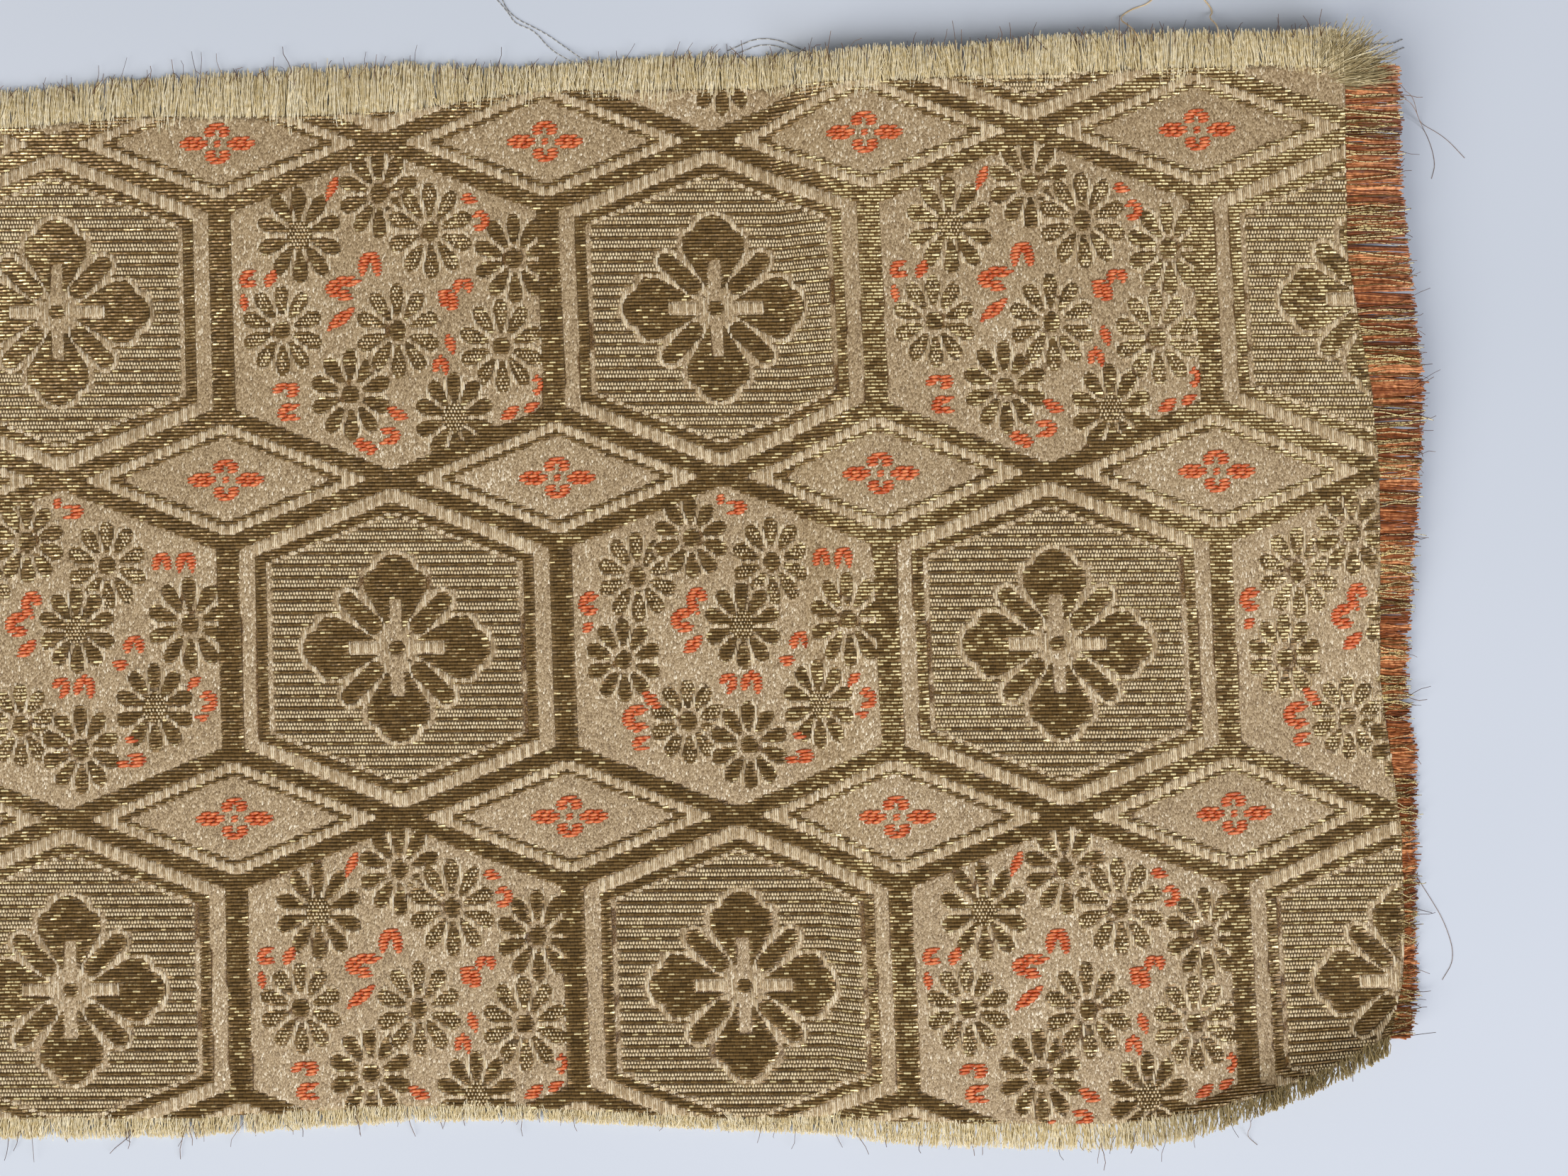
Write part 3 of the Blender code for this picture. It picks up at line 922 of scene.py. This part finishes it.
def make_gold(name, random, v_rows, runs, width, flashing):
    """Roof-shaped strips along runs of weft, tied down at steps that shift row by row."""
    row, start, stop = runs
    shift = row % 2 * TIE_SPACING / 2
    first_tie = np.ceil((start + LEAST_FLOAT - shift) / TIE_SPACING)
    last_tie = np.floor((stop - LEAST_FLOAT - shift) / TIE_SPACING)
    count = (np.maximum(last_tie - first_tie + 1, 0) + 2).astype(int)
    run, k = numbered(count)
    is_end = (k == 0) | (k == count[run] - 1)
    tie_u = (first_tie[run] + k - 1) * TIE_SPACING + shift[run]
    tie_u = tie_u + random.uniform(-TIE_JITTER, TIE_JITTER, len(run))
    u = np.where(k == 0, start[run], np.where(is_end, stop[run], tie_u))
    v = v_rows[row[run]] + random.uniform(-WEFT_JITTER, WEFT_JITTER, len(u))
    ridge = GOLD_RIDGE + random.uniform(-RIDGE_JITTER, RIDGE_JITTER, len(u))
    ridge = np.where(is_end, GOLD_EDGE, ridge)
    roll = random.uniform(-STRIP_ROLL, STRIP_ROLL, len(u))
    strip = [
        place(*on_table(u, v + side * width / 2), GROUND_THICKNESS + up)
        for side, up in ((-1, GOLD_EDGE - roll), (0, ridge), (1, GOLD_EDGE + roll))
    ]
    points = np.stack(strip, axis=1).reshape(-1, 3)
    here = np.flatnonzero(run[1:] == run[:-1])
    near, far = here * 3, here * 3 + 3
    quads = [
        np.stack((near + a, far + a, far + b, near + b), axis=1)
        for a, b in ((0, 1), (1, 2), (2, 0))
    ]
    first, last = np.flatnonzero(k == 0) * 3, np.flatnonzero(k == count[run] - 1) * 3
    caps = [np.stack((first, first + 1, first + 2), 1), np.stack((last, last + 2, last + 1), 1)]
    # Painted highlights: the chosen floats get a painted flash, a higher shine that lightens their
    # colour.
    painted_flash = random.random(len(here)) < flashing * painted_flash_share(*on_table(u[here], v[here]))
    shine = random.uniform(*DULL, len(here)) + random.uniform(*PAINTED_FLASH, len(here)) * painted_flash
    return make_piece(
        name, points, quads + caps, gilt, "brocade",
        tie=np.repeat(k % 2, 3),
        crown=np.tile((0.0, 1.0, 0.0), len(u)),
        shine=np.concatenate((np.tile(shine, 3), np.full(2 * len(first), END_SHINE))),
    )


GOLD_WIDTH, RIB_WIDTH = 0.41, 0.36
GOLD_EDGE, GOLD_RIDGE = 0.08, 0.24
RIB_PITCH = 1.42
RIB_NUMBERS = np.arange(-13, 14)
random = np.random.default_rng(7)
gilt = wound_thread("gilt_thread", "#44341B", "#7F653C", "#F9ECB8")


def rib_rows(shares):
    """Rows of weft in every ribbed hexagon, at some shares of each rib."""
    return np.sort(np.concatenate([
        (row + 0.5) * HEXAGON_PITCH + (RIB_NUMBERS + share) * RIB_PITCH
        for row in (-2, -1, 0, 1) for share in shares
    ]))


plain_rows = (np.arange(math.floor(LOWEST_V / WEFT), math.ceil(HIGHEST_V / WEFT)) + 0.5) * WEFT
gold_rows, bead_rows = rib_rows((0,)), rib_rows((1 / 3, 2 / 3))
plain_runs = weft_rows(plain_rows, (GOLD, BEADED))
lower = plain_runs[0] < len(plain_rows) // 2
for name, chosen in (("gold_wefts_lower", lower), ("gold_wefts_upper", ~lower)):
    make_gold(name, random, plain_rows, [ends[chosen] for ends in plain_runs], GOLD_WIDTH, 1.0)
make_gold("gold_ribs", random, gold_rows, weft_rows(gold_rows, (RIBBED,)), RIB_WIDTH, 1.6)


# The cream beads
# Where a float of warp crosses one weft only, it stands up as a bead. Two rows of them part
# the gold ribs, and they fill the petals of the lighter chrysanthemums.
def bead_silk():
    """The satin's own silk, seen end on: painted a little lighter, as painted light on each bead's
    bump.
    """
    material, tree = new_material("bead_silk")
    where = add_node(tree, "ShaderNodeTexCoord")
    cloud = add_node(
        tree, "ShaderNodeTexNoise", {"Vector": where.outputs["Object"], "Scale": 1 / (0.8 * MM)}
    )
    colour = add_node(
        tree,
        "ShaderNodeValToRGB",
        {"Fac": cloud.outputs["Fac"]},
        stops=((0.3, "#C2AB82"), (0.7, "#EEE0BE")),
    )
    surface = add_node(
        tree,
        "ShaderNodeBsdfPrincipled",
        {"Base Color": colour.outputs["Color"], "Roughness": 0.45, "Specular IOR Level": 0.4},
    )
    add_node(tree, "ShaderNodeOutputMaterial", {"Surface": surface.outputs["BSDF"]})
    return material


PETAL_BEAD_PITCH, RIB_BEAD_PITCH = 0.42, 0.36
PETAL_BEAD, RIB_BEAD = (0.18, 0.24), (0.17, 0.29)
BEAD_FOOT, BEAD_TOP = 0.08, 0.32
BEAD_SIDES = 6
BEAD_JITTER = 0.03
# The least room between a bead's middle and the end of its run, as a share of the pitch
BEAD_ROOM = 0.3


def beads_along(row, start, stop, v_rows, pitch):
    """Places of beads at an even pitch along runs of weft, half a pitch off in every other."""
    shift = (row % 2) * pitch / 2
    first = np.ceil((start + pitch * BEAD_ROOM - shift) / pitch)
    last = np.floor((stop - pitch * BEAD_ROOM - shift) / pitch)
    run, k = numbered(np.maximum(last - first + 1, 0).astype(int))
    return (first[run] + k) * pitch + shift[run], v_rows[row[run]]


def make_beads(name, v_rows, codes, pitch, half, random, material):
    """Small closed pyramids on an upright six-sided base, one for each bead."""
    u, v = beads_along(*weft_rows(v_rows, codes), v_rows, pitch)
    u = u + random.uniform(-BEAD_JITTER, BEAD_JITTER, len(u))
    v = v + random.uniform(-BEAD_JITTER, BEAD_JITTER, len(u))
    size = random.uniform(0.85, 1.15, len(u))
    foot = np.full(len(u), GROUND_THICKNESS + BEAD_FOOT)
    corners = []
    for k in range(BEAD_SIDES):
        turn = 2 * math.pi * (k + 0.5) / BEAD_SIDES
        du, dv = half[0] * math.cos(turn), half[1] * math.sin(turn)
        corners.append(place(*on_table(u + du * size, v + dv * size), foot))
    corners.append(place(*on_table(u, v), GROUND_THICKNESS + BEAD_TOP * size))
    points = np.stack(corners, axis=1).reshape(-1, 3)
    start = np.arange(len(u))[:, None] * (BEAD_SIDES + 1)
    sides = np.concatenate([
        start + np.array((k, (k + 1) % BEAD_SIDES, BEAD_SIDES)) for k in range(BEAD_SIDES)
    ])
    bottoms = start + np.arange(BEAD_SIDES)[::-1]
    return make_piece(name, points, [sides, bottoms], material, "brocade", True)


beads = bead_silk()
make_beads("petal_beads", plain_rows, (BEADED,), PETAL_BEAD_PITCH, PETAL_BEAD, random, beads)
make_beads("rib_beads", bead_rows, (RIBBED,), RIB_BEAD_PITCH, RIB_BEAD, random, beads)


# The orange leaves
# Thick, loosely twisted silk weft, brocaded in only where the small leaves and the flowers
# of the lozenges want it. Each float swells between its ties and lies a little aslant.
def twisted_silk(name, dark, middle_tone, light):
    """Glossy loosely twisted silk, toned by its tint: where the tint holds painted shade and light,
    it is deep in its furrows and much lighter on the crown.
    """
    material, tree = new_material(name)
    tint = add_node(tree, "ShaderNodeAttribute", attribute_name="tint")
    where = add_node(tree, "ShaderNodeTexCoord")
    cloud = add_node(
        tree, "ShaderNodeTexNoise", {"Vector": where.outputs["Object"], "Scale": 1 / (0.5 * MM)}
    )
    tone = add_node(
        tree,
        "ShaderNodeMath",
        {0: tint.outputs["Fac"], 1: cloud.outputs["Fac"]},
        operation="MULTIPLY",
    )
    colour = add_node(
        tree,
        "ShaderNodeValToRGB",
        {"Fac": tone.outputs["Value"]},
        stops=((0.0, dark), (0.3, middle_tone), (0.65, light)),
    )
    surface = add_node(
        tree,
        "ShaderNodeBsdfPrincipled",
        {"Base Color": colour.outputs["Color"], "Roughness": 0.4, "Specular IOR Level": 0.4},
    )
    add_node(tree, "ShaderNodeOutputMaterial", {"Surface": surface.outputs["BSDF"]})
    return material


FLOAT_LENGTH = 1.15
FLOAT_OVERLAP = 0.1
FLOAT_STATIONS = 3
FLOAT_SLANT = 0.09
FLOAT_HALF_WIDTH = 0.28
FLOAT_TOP = 0.38
# How thick a float still is at its ties, in width and in height
TIED_WIDTH, TIED_HEIGHT = 0.45, 0.35
# A float's cross section: shares of its half width and its height, and how light it is painted
# there: painted shade at its edges, painted light on its crown
FLOAT_SECTION = ((-1, 0.0, 0.3), (-0.5, 0.75, 0.8), (0.5, 0.8, 1.0), (1, 0.0, 0.3))


def make_orange():
    """Spindle-shaped floats along each row of orange."""
    random = np.random.default_rng(11)
    row, start, stop = weft_rows(plain_rows, (ORANGE,))
    count = np.maximum(np.round((stop - start) / FLOAT_LENGTH), 1).astype(int)
    run, k = numbered(count)
    length = ((stop - start) / count)[run]
    near = start[run] + k * length - FLOAT_OVERLAP
    far = near + length + 2 * FLOAT_OVERLAP
    v_middle = plain_rows[row[run]] + random.uniform(-0.03, 0.03, len(run))
    swell = np.sin(math.pi * (np.arange(FLOAT_STATIONS + 1) / FLOAT_STATIONS * 0.86 + 0.07))
    points, tints = [], []
    for station, fat in enumerate(swell):
        t = station / FLOAT_STATIONS
        u = near + (far - near) * t
        v = v_middle + (t - 0.5) * FLOAT_SLANT * 2
        width = TIED_WIDTH + (1 - TIED_WIDTH) * fat
        height = TIED_HEIGHT + (1 - TIED_HEIGHT) * fat
        for side, up, shade in FLOAT_SECTION:
            lifted = GROUND_THICKNESS - 0.03 + FLOAT_TOP * up * height
            side_v = v + side * FLOAT_HALF_WIDTH * width
            points.append(place(*on_table(u, side_v), np.full(len(u), lifted)))
            # Painted light: lighter on the crown and where the float swells, painted shade at its
            # edges and near its ties.
            tints.append(np.full(len(u), shade * width))
    ring = len(FLOAT_SECTION)
    points = np.stack(points, axis=1)
    base = np.arange(len(run))[:, None] * points.shape[1]
    faces = []
    for station in range(FLOAT_STATIONS):
        for side in range(ring):
            a, b = station * ring + side, station * ring + (side + 1) % ring
            faces.append(base + np.array((a, a + ring, b + ring, b)))
    last = FLOAT_STATIONS * ring
    faces += [base + np.array((0, 1, 2, 3)), base + last + np.array((3, 2, 1, 0))]
    material = twisted_silk("orange_silk", "#6E260B", "#B44A1C", "#F49A66")
    return make_piece(
        "orange_leaves", points.reshape(-1, 3), [np.concatenate(faces)], material, "brocade", True,
        tint=np.stack(tints, axis=1).ravel(),
    )


make_orange()


# The frayed ends
# Along the top and the bottom the cut warps stand out in straw-coloured silk, and fan out in
# a brush at the upper right corner. Along the right the cut wefts do: flat orange floss, and
# crinkled gold ends on top of it. Fine dark hairs stand out further all round.
def thread_tubes(paths, radii, flatness=1.0):
    """Closed three-sided tubes along many paths of equally many stations."""
    count, stations = paths.shape[:2]
    ahead = np.gradient(paths, axis=1)
    ahead /= np.linalg.norm(ahead, axis=-1, keepdims=True) + 1e-12
    side = np.cross(ahead, (0.0, 0.0, 1.0))
    side /= np.linalg.norm(side, axis=-1, keepdims=True) + 1e-12
    over = np.cross(side, ahead)
    rings = []
    for k in range(3):
        turn = math.pi / 2 + k * 2 * math.pi / 3
        offset = math.cos(turn) * side + flatness * math.sin(turn) * over
        rings.append(paths + offset * radii[..., None])
    points = np.stack(rings, axis=2)
    base = np.arange(count)[:, None] * stations * 3
    quads = []
    for station in range(stations - 1):
        for k in range(3):
            a, b = station * 3 + k, station * 3 + (k + 1) % 3
            quads.append(base + np.array((a, b, b + 3, a + 3)))
    last = (stations - 1) * 3
    caps = [base + np.array((2, 1, 0)), base + last + np.array((0, 1, 2))]
    return points.reshape(-1, 3), quads + caps


STATIONS = 4


def strands(random, root, tip, start_up, end_up, radius, waves, stations=STATIONS, flatness=1.0):
    """Loose ends from root to tip, each a pair of x and y, each waved a little its own way.

    The waves are pairs: how many half waves a strand makes, and how far they sway it.
    """
    root, tip = np.stack(root, axis=1), np.stack(tip, axis=1)
    count = len(root)
    t = np.linspace(0, 1, stations)[None, :]
    path = root[:, None] * (1 - t[..., None]) + tip[:, None] * t[..., None]
    for halves, sway in waves:
        swing = random.normal(0, sway, (count, 1, 2))
        path = path + swing * np.sin(math.pi * halves * t)[..., None]
    up = start_up[:, None] * (1 - t) + end_up[:, None] * t
    up = up + random.uniform(0, 0.25, (count, 1)) * np.sin(math.pi * t)
    radii = radius * random.uniform(0.75, 1.2, (count, 1)) * (1 - 0.2 * t**2) * MM
    return thread_tubes(place(path[..., 0], path[..., 1], up), radii, flatness)


def shaded(shade, stations=STATIONS):
    """A row of shades, one for each strand, as one for each point of its tube."""
    return np.repeat(shade, 3 * stations)


WARP_END_RADIUS = 0.063
LOCK_WIDTH = 1.1
DARKENING_FROM_X, DARKENING_WIDTH = 42.0, 18.0


def make_warp_ends(name, node, table_of_edge, count, seed, outwards, overlap, darker_to_right=0.0):
    """The loose warps along the top or the bottom edge, in small locks that lean together.

    The thread ends get darker towards the right, by the curled corner: the last argument says by
    how much.
    """
    random = np.random.default_rng(seed)
    first, last = table_of_edge[0, 0], table_of_edge[-1, 0]
    x = np.sort(random.uniform(first, last, count))
    lock_x = np.arange(first, last + 2 * LOCK_WIDTH, LOCK_WIDTH)
    lock = np.interp(x, lock_x, random.uniform(-1, 1, len(lock_x)))
    weave_end = edge(table_of_edge, x)
    wander = 1 + 0.6 * lock + 0.5 * np.sin(0.31 * x) + 0.4 * np.sin(0.83 * x + 1)
    start = weave_end - outwards * overlap * random.uniform(0.1, 1, count) * np.maximum(wander, 0.2)
    reach = np.where(random.random(count) < 0.2, random.uniform(0.4, 0.9, count),
                     random.normal(0.93, 0.06, count) + 0.04 * lock)
    end = weave_end + (edge(table_of_edge, x, TIPS) - weave_end) * reach
    lean = lock * 0.4 + random.normal(0, 0.3, count)
    layer = random.uniform(0, 1, count)
    points, faces = strands(
        random, (x, start), (x + lean, end),
        GROUND_THICKNESS - 0.35 + 0.55 * layer, 0.12 + 0.6 * layer,
        np.where(layer < 0.35, 1.7, 1.0)[:, None] * WARP_END_RADIUS,
        ((1, 0.18), (2, 0.12), (3, 0.05)),
    )
    # Painted shade: strands lower in the pile are darker. The locks and each strand also differ in
    # tone at random.
    shade = 0.75 + 0.25 * layer + 0.1 * lock + random.normal(0, 0.12, count)
    # Darker towards the right end, by the curled corner.
    shade *= 1 - darker_to_right * smooth((x - DARKENING_FROM_X) / DARKENING_WIDTH)
    piece = make_piece(
        name, points, faces, straw_silk, "cream_ends", tint=shaded(np.clip(shade, 0.15, 1.2))
    )
    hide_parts(node)


straw_silk = twisted_silk("straw_warp_silk", "#83703F", "#DACA9D", "#F7EFD6")
make_warp_ends("warp_ends_top", "fringe_top", TOP_EDGE, 5000, 21, 1, 1.2)
make_warp_ends("warp_ends_bottom", "fringe_bottom", BOTTOM_EDGE, 3800, 22, -1, 0.5, darker_to_right=0.6)


FLOSS_STRANDS = 2200
FLOSS_RADIUS = 0.125
FLOSS_FLATNESS = 0.4


def make_floss():
    """Flat orange floss along the right edge, cut off evenly, lighter and darker in bands."""
    random = np.random.default_rng(31)
    y = np.sort(random.uniform(RIGHT_EDGE[0, 0], RIGHT_EDGE[-1, 0], FLOSS_STRANDS))
    start = edge(RIGHT_EDGE, y) - 0.5
    end = edge(RIGHT_EDGE, y, TIPS) - 0.3 + random.normal(0, 0.25, len(y))
    lean = 0.2 * np.sin(y * 2.0) + random.normal(0, 0.2, len(y))
    points, faces = strands(
        random, (start, y), (end, y + lean),
        random.uniform(0.4, 0.62, len(y)), random.uniform(0.2, 0.55, len(y)), FLOSS_RADIUS,
        ((1, 0.1), (2, 0.06)), flatness=FLOSS_FLATNESS,
    )
    band = 0.5 * np.sin(y * 0.55) + 0.3 * np.sin(y * 1.46 + 1) + 0.25 * np.sin(y * 3.3 + 4)
    shade = np.clip(0.62 + 0.42 * band + random.normal(0, 0.2, len(y)), 0.05, 1.2)
    floss = twisted_silk("orange_floss", "#3C1C0C", "#8A4A20", "#E09C68")
    piece = make_piece("weft_ends_orange", points, faces, floss, "orange_ends", tint=shaded(shade))
    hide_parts("fringe_right")


GOLD_END_STATIONS = 10
GOLD_END_RADIUS = 0.075
# Ends to a row of weft, on average and at most, since they crowd together in some places
ENDS_PER_WEFT = 1.35
MOST_ENDS = 3


def make_gold_ends():
    """Crinkled gold ends that carry the pattern's wefts on across the floss."""
    random = np.random.default_rng(32)
    v = np.repeat(plain_rows, MOST_ENDS)
    crowded = 0.5 + 0.3 * np.sin(0.47 * v + 1) + 0.25 * np.sin(1.13 * v)
    v = v[random.random(len(v)) < crowded * ENDS_PER_WEFT * 2 / MOST_ENDS]
    y = on_table(RIGHT_U, v)[1] + random.normal(0, 0.1, len(v))
    y = y[(y > RIGHT_EDGE[0, 0]) & (y < RIGHT_EDGE[-1, 0])]
    start = edge(RIGHT_EDGE, y) - random.uniform(0.1, 0.9, len(y))
    end = edge(RIGHT_EDGE, y, TIPS) + np.clip(random.normal(-0.2, 0.45, len(y)), -2.2, 1.1)
    lean = 0.35 * np.sin(y * 2.0) + random.normal(0, 0.35, len(y))
    points, faces = strands(
        random, (start, y), (end, y + lean),
        GROUND_THICKNESS + random.uniform(-0.1, 0.12, len(y)), random.uniform(0.4, 0.85, len(y)),
        GOLD_END_RADIUS, ((1, 0.2), (3, 0.07), (7, 0.02)), stations=GOLD_END_STATIONS,
    )
    # Painted glints: the shine changes from station to station along each crinkled end, and the
    # crown paints its top lighter.
    painted_glint = random.uniform(0.3, 1.0, (len(y), 1)) + 0.4 * random.random((len(y), GOLD_END_STATIONS))
    return make_piece(
        "weft_ends_gold", points, faces, gilt, "orange_ends",
        tie=np.tile(np.repeat(np.arange(GOLD_END_STATIONS) % 2, 3), len(y)),
        crown=np.tile((1.0, 0.7, 0.7), len(y) * GOLD_END_STATIONS),
        shine=np.repeat(painted_glint.ravel(), 3),
    )


CORNER_ENDS = 420
CORNER_END_RADIUS = 0.06
CORNER = (66.0, 59.2)


def make_corner_ends():
    """At the upper right corner the loose warps lean out sideways in a soft brush."""
    random = np.random.default_rng(33)
    fan = random.uniform(0, 1, CORNER_ENDS)
    x = CORNER[0] - 3.4 * random.random(CORNER_ENDS) * (0.3 + fan)
    y = CORNER[1] + 2.6 * fan + random.normal(0, 0.3, CORNER_ENDS)
    length = np.clip(random.normal(5.4, 1.1, CORNER_ENDS) - 1.5 * fan**3, 2.0, 7.0)
    turn = 0.05 + 1.25 * fan**1.4 + random.normal(0, 0.12, CORNER_ENDS)
    points, faces = strands(
        random, (x, y), (x + np.cos(turn) * length, y + np.sin(turn) * length),
        GROUND_THICKNESS + random.uniform(-0.2, 0.15, CORNER_ENDS),
        random.uniform(0.1, 1.1, CORNER_ENDS), CORNER_END_RADIUS, ((1, 0.35), (2, 0.15)),
    )
    shade = np.clip(0.45 + 0.45 * fan + random.normal(0, 0.22, CORNER_ENDS), 0.1, 1.2)
    olive = twisted_silk("olive_warp_silk", "#5C5034", "#AC9D76", "#E4DAB8")
    make_piece("corner_ends", points, faces, olive, "cream_ends", tint=shaded(shade))


make_floss()
make_gold_ends()
make_corner_ends()


# Each edge's hairs: the edge, which way is outwards, how many, and whether they lie along x
HAIRS = ((TOP_EDGE, 1, 190, False), (BOTTOM_EDGE, -1, 70, False), (RIGHT_EDGE, 1, 70, True))
HAIR_RADIUS = 0.045
HAIR_STATIONS = 5


def make_hairs():
    """Fine dark hairs that stand out past the cut ends on three sides."""
    random = np.random.default_rng(41)
    roots, tips = [], []
    for table_of_edge, outwards, count, along_x in HAIRS:
        along = random.uniform(table_of_edge[0, 0], table_of_edge[-1, 0], count)
        end = edge(table_of_edge, along, TIPS)
        inner = end - outwards * random.uniform(1.0, 2.5, count)
        outer = end + outwards * np.minimum(random.exponential(0.8, count), 2.6)
        lean = random.normal(0, 0.8, count)
        order = -1 if along_x else 1
        roots.append((along, inner)[::order])
        tips.append((along + lean, outer)[::order])
    root, tip = np.concatenate(roots, axis=1), np.concatenate(tips, axis=1)
    count = root.shape[1]
    points, faces = strands(
        random, root, tip, random.uniform(0.5, 0.8, count), random.uniform(0.1, 0.9, count),
        HAIR_RADIUS, ((1, 0.2), (2, 0.1)), stations=HAIR_STATIONS,
    )
    dark_silk = twisted_silk("dark_hairs", "#2E1E1A", "#5C3F33", "#8A6A52")
    shade = shaded(random.uniform(0.3, 1.0, count), HAIR_STATIONS)
    make_piece("fine_hairs", points, faces, dark_silk, "cream_ends", tint=shade)


make_hairs()


# The stray threads
# A few long loose threads lie on the table where the weave has shed them: silver and pale
# silk ones along the top, and dark silk ones at the right. Each starts in a frayed edge.
SILVER_STRAYS = (
    ((13.5, 60.9), (9.0, 61.8), (3.3, 64.5), (-2.3, 66.8), (-6.8, 64.8)),
    ((12.2, 60.6), (8.2, 61.4), (2.6, 63.9), (-2.0, 66.0), (-6.2, 64.2)),
    ((-25.4, 63.2), (-28.2, 64.9), (-30.1, 67.3), (-32.5, 68.1), (-33.2, 69.4), (-35.5, 72.0)),
    ((-23.3, 62.9), (-27.0, 65.7), (-29.2, 67.2), (-33.0, 69.0), (-34.4, 71.8)),
    ((65.7, 63.6), (68.7, 65.1), (71.7, 65.7), (73.3, 65.6), (74.6, 66.2)),
    ((66.4, 62.4), (69.5, 63.9), (72.0, 64.1), (74.8, 65.2)),
)
SILK_STRAYS = (
    ((73.0, 58.4), (74.7, 57.7), (76.7, 56.0), (79.6, 54.4), (82.0, 51.8)),
    ((73.0, 57.4), (76.7, 56.0), (77.8, 53.9), (78.5, 51.1), (78.0, 49.3)),
    ((74.3, -31.6), (75.2, -33.9), (76.9, -36.5), (79.0, -40.0), (80.2, -44.2), (78.6, -46.8)),
    ((54.0, -61.5), (55.2, -63.2), (55.0, -65.2), (56.4, -66.4)),
)
PALE_STRAYS = (
    ((51.4, 65.2), (51.6, 67.0), (51.0, 68.6), (51.9, 69.6), (50.2, 71.6)),
    ((42.0, 65.0), (41.2, 67.2), (40.3, 68.6), (41.7, 69.8), (44.1, 70.5), (45.0, 72.0)),
)
STRAY_STATIONS = 60
STRAY_DESCENT = 5.0


def rounded(points, rounds=3):
    """A smooth path round the corners of a line of points."""
    points = np.array(points, float)
    for _ in range(rounds):
        ahead = points[1:] - points[:-1]
        cut = np.stack((points[:-1] + 0.25 * ahead, points[:-1] + 0.75 * ahead), axis=1)
        points = np.concatenate((points[:1], cut.reshape(-1, 2), points[-1:]))
    return points


def make_strays(name, lines, radius, material, slot):
    """Threads that leave the cloth at its own height and come down to the table.

    A silk thread's material reads its tint, and a wound one's its ties, crown and painted shine.
    """
    paths = []
    for line in lines:
        corners = rounded(line)
        length = np.concatenate(((0,), np.cumsum(np.linalg.norm(np.diff(corners, axis=0), axis=1))))
        along = np.linspace(0, length[-1], STRAY_STATIONS)
        x, y = (np.interp(along, length, corners[:, k]) for k in range(2))
        on_cloth = drape(x[:1], y[:1])[0, 2] + GROUND_THICKNESS + radius
        z = radius + TABLE_LEVEL + (on_cloth - radius) * (1 - smooth(along / STRAY_DESCENT))
        paths.append((np.stack((x, y, z), axis=1) + (*TABLE_ORIGIN, 0)) * MM)
    paths = np.array(paths)
    points, faces = thread_tubes(paths, np.full(paths.shape[:2], radius * MM))
    # On the silver thread the shine paints a glint at every third station: painted highlights along
    # its twist.
    twist = np.arange(STRAY_STATIONS)
    return make_piece(
        name, points, faces, material, slot,
        tint=np.full(len(points), 0.9),
        tie=np.tile(np.repeat(twist % 2, 3), len(paths)),
        crown=np.ones(len(points)),
        shine=np.tile(np.repeat(np.where(twist % 3 == 0, 1.0, 0.5), 3), len(paths)),
    )


silver = wound_thread("silver_thread", "#4A4742", "#8F8B84", "#F2F0E8")
make_strays("silver_strays", SILVER_STRAYS, 0.07, silver, "cream_ends")
dark_hair = twisted_silk("dark_silk", "#4A3A34", "#7A655A", "#A08C7E")
make_strays("silk_strays", SILK_STRAYS, 0.045, dark_hair, "orange_ends")
pale_silk = twisted_silk("pale_orange_silk", "#B08A58", "#D8B988", "#F0DDBB")
make_strays("pale_strays", PALE_STRAYS, 0.11, pale_silk, "orange_ends")


boxes = {"cad": cad_box, "visual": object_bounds()}
{key: [list(map(float, corner)) for corner in box] for key, box in boxes.items()}
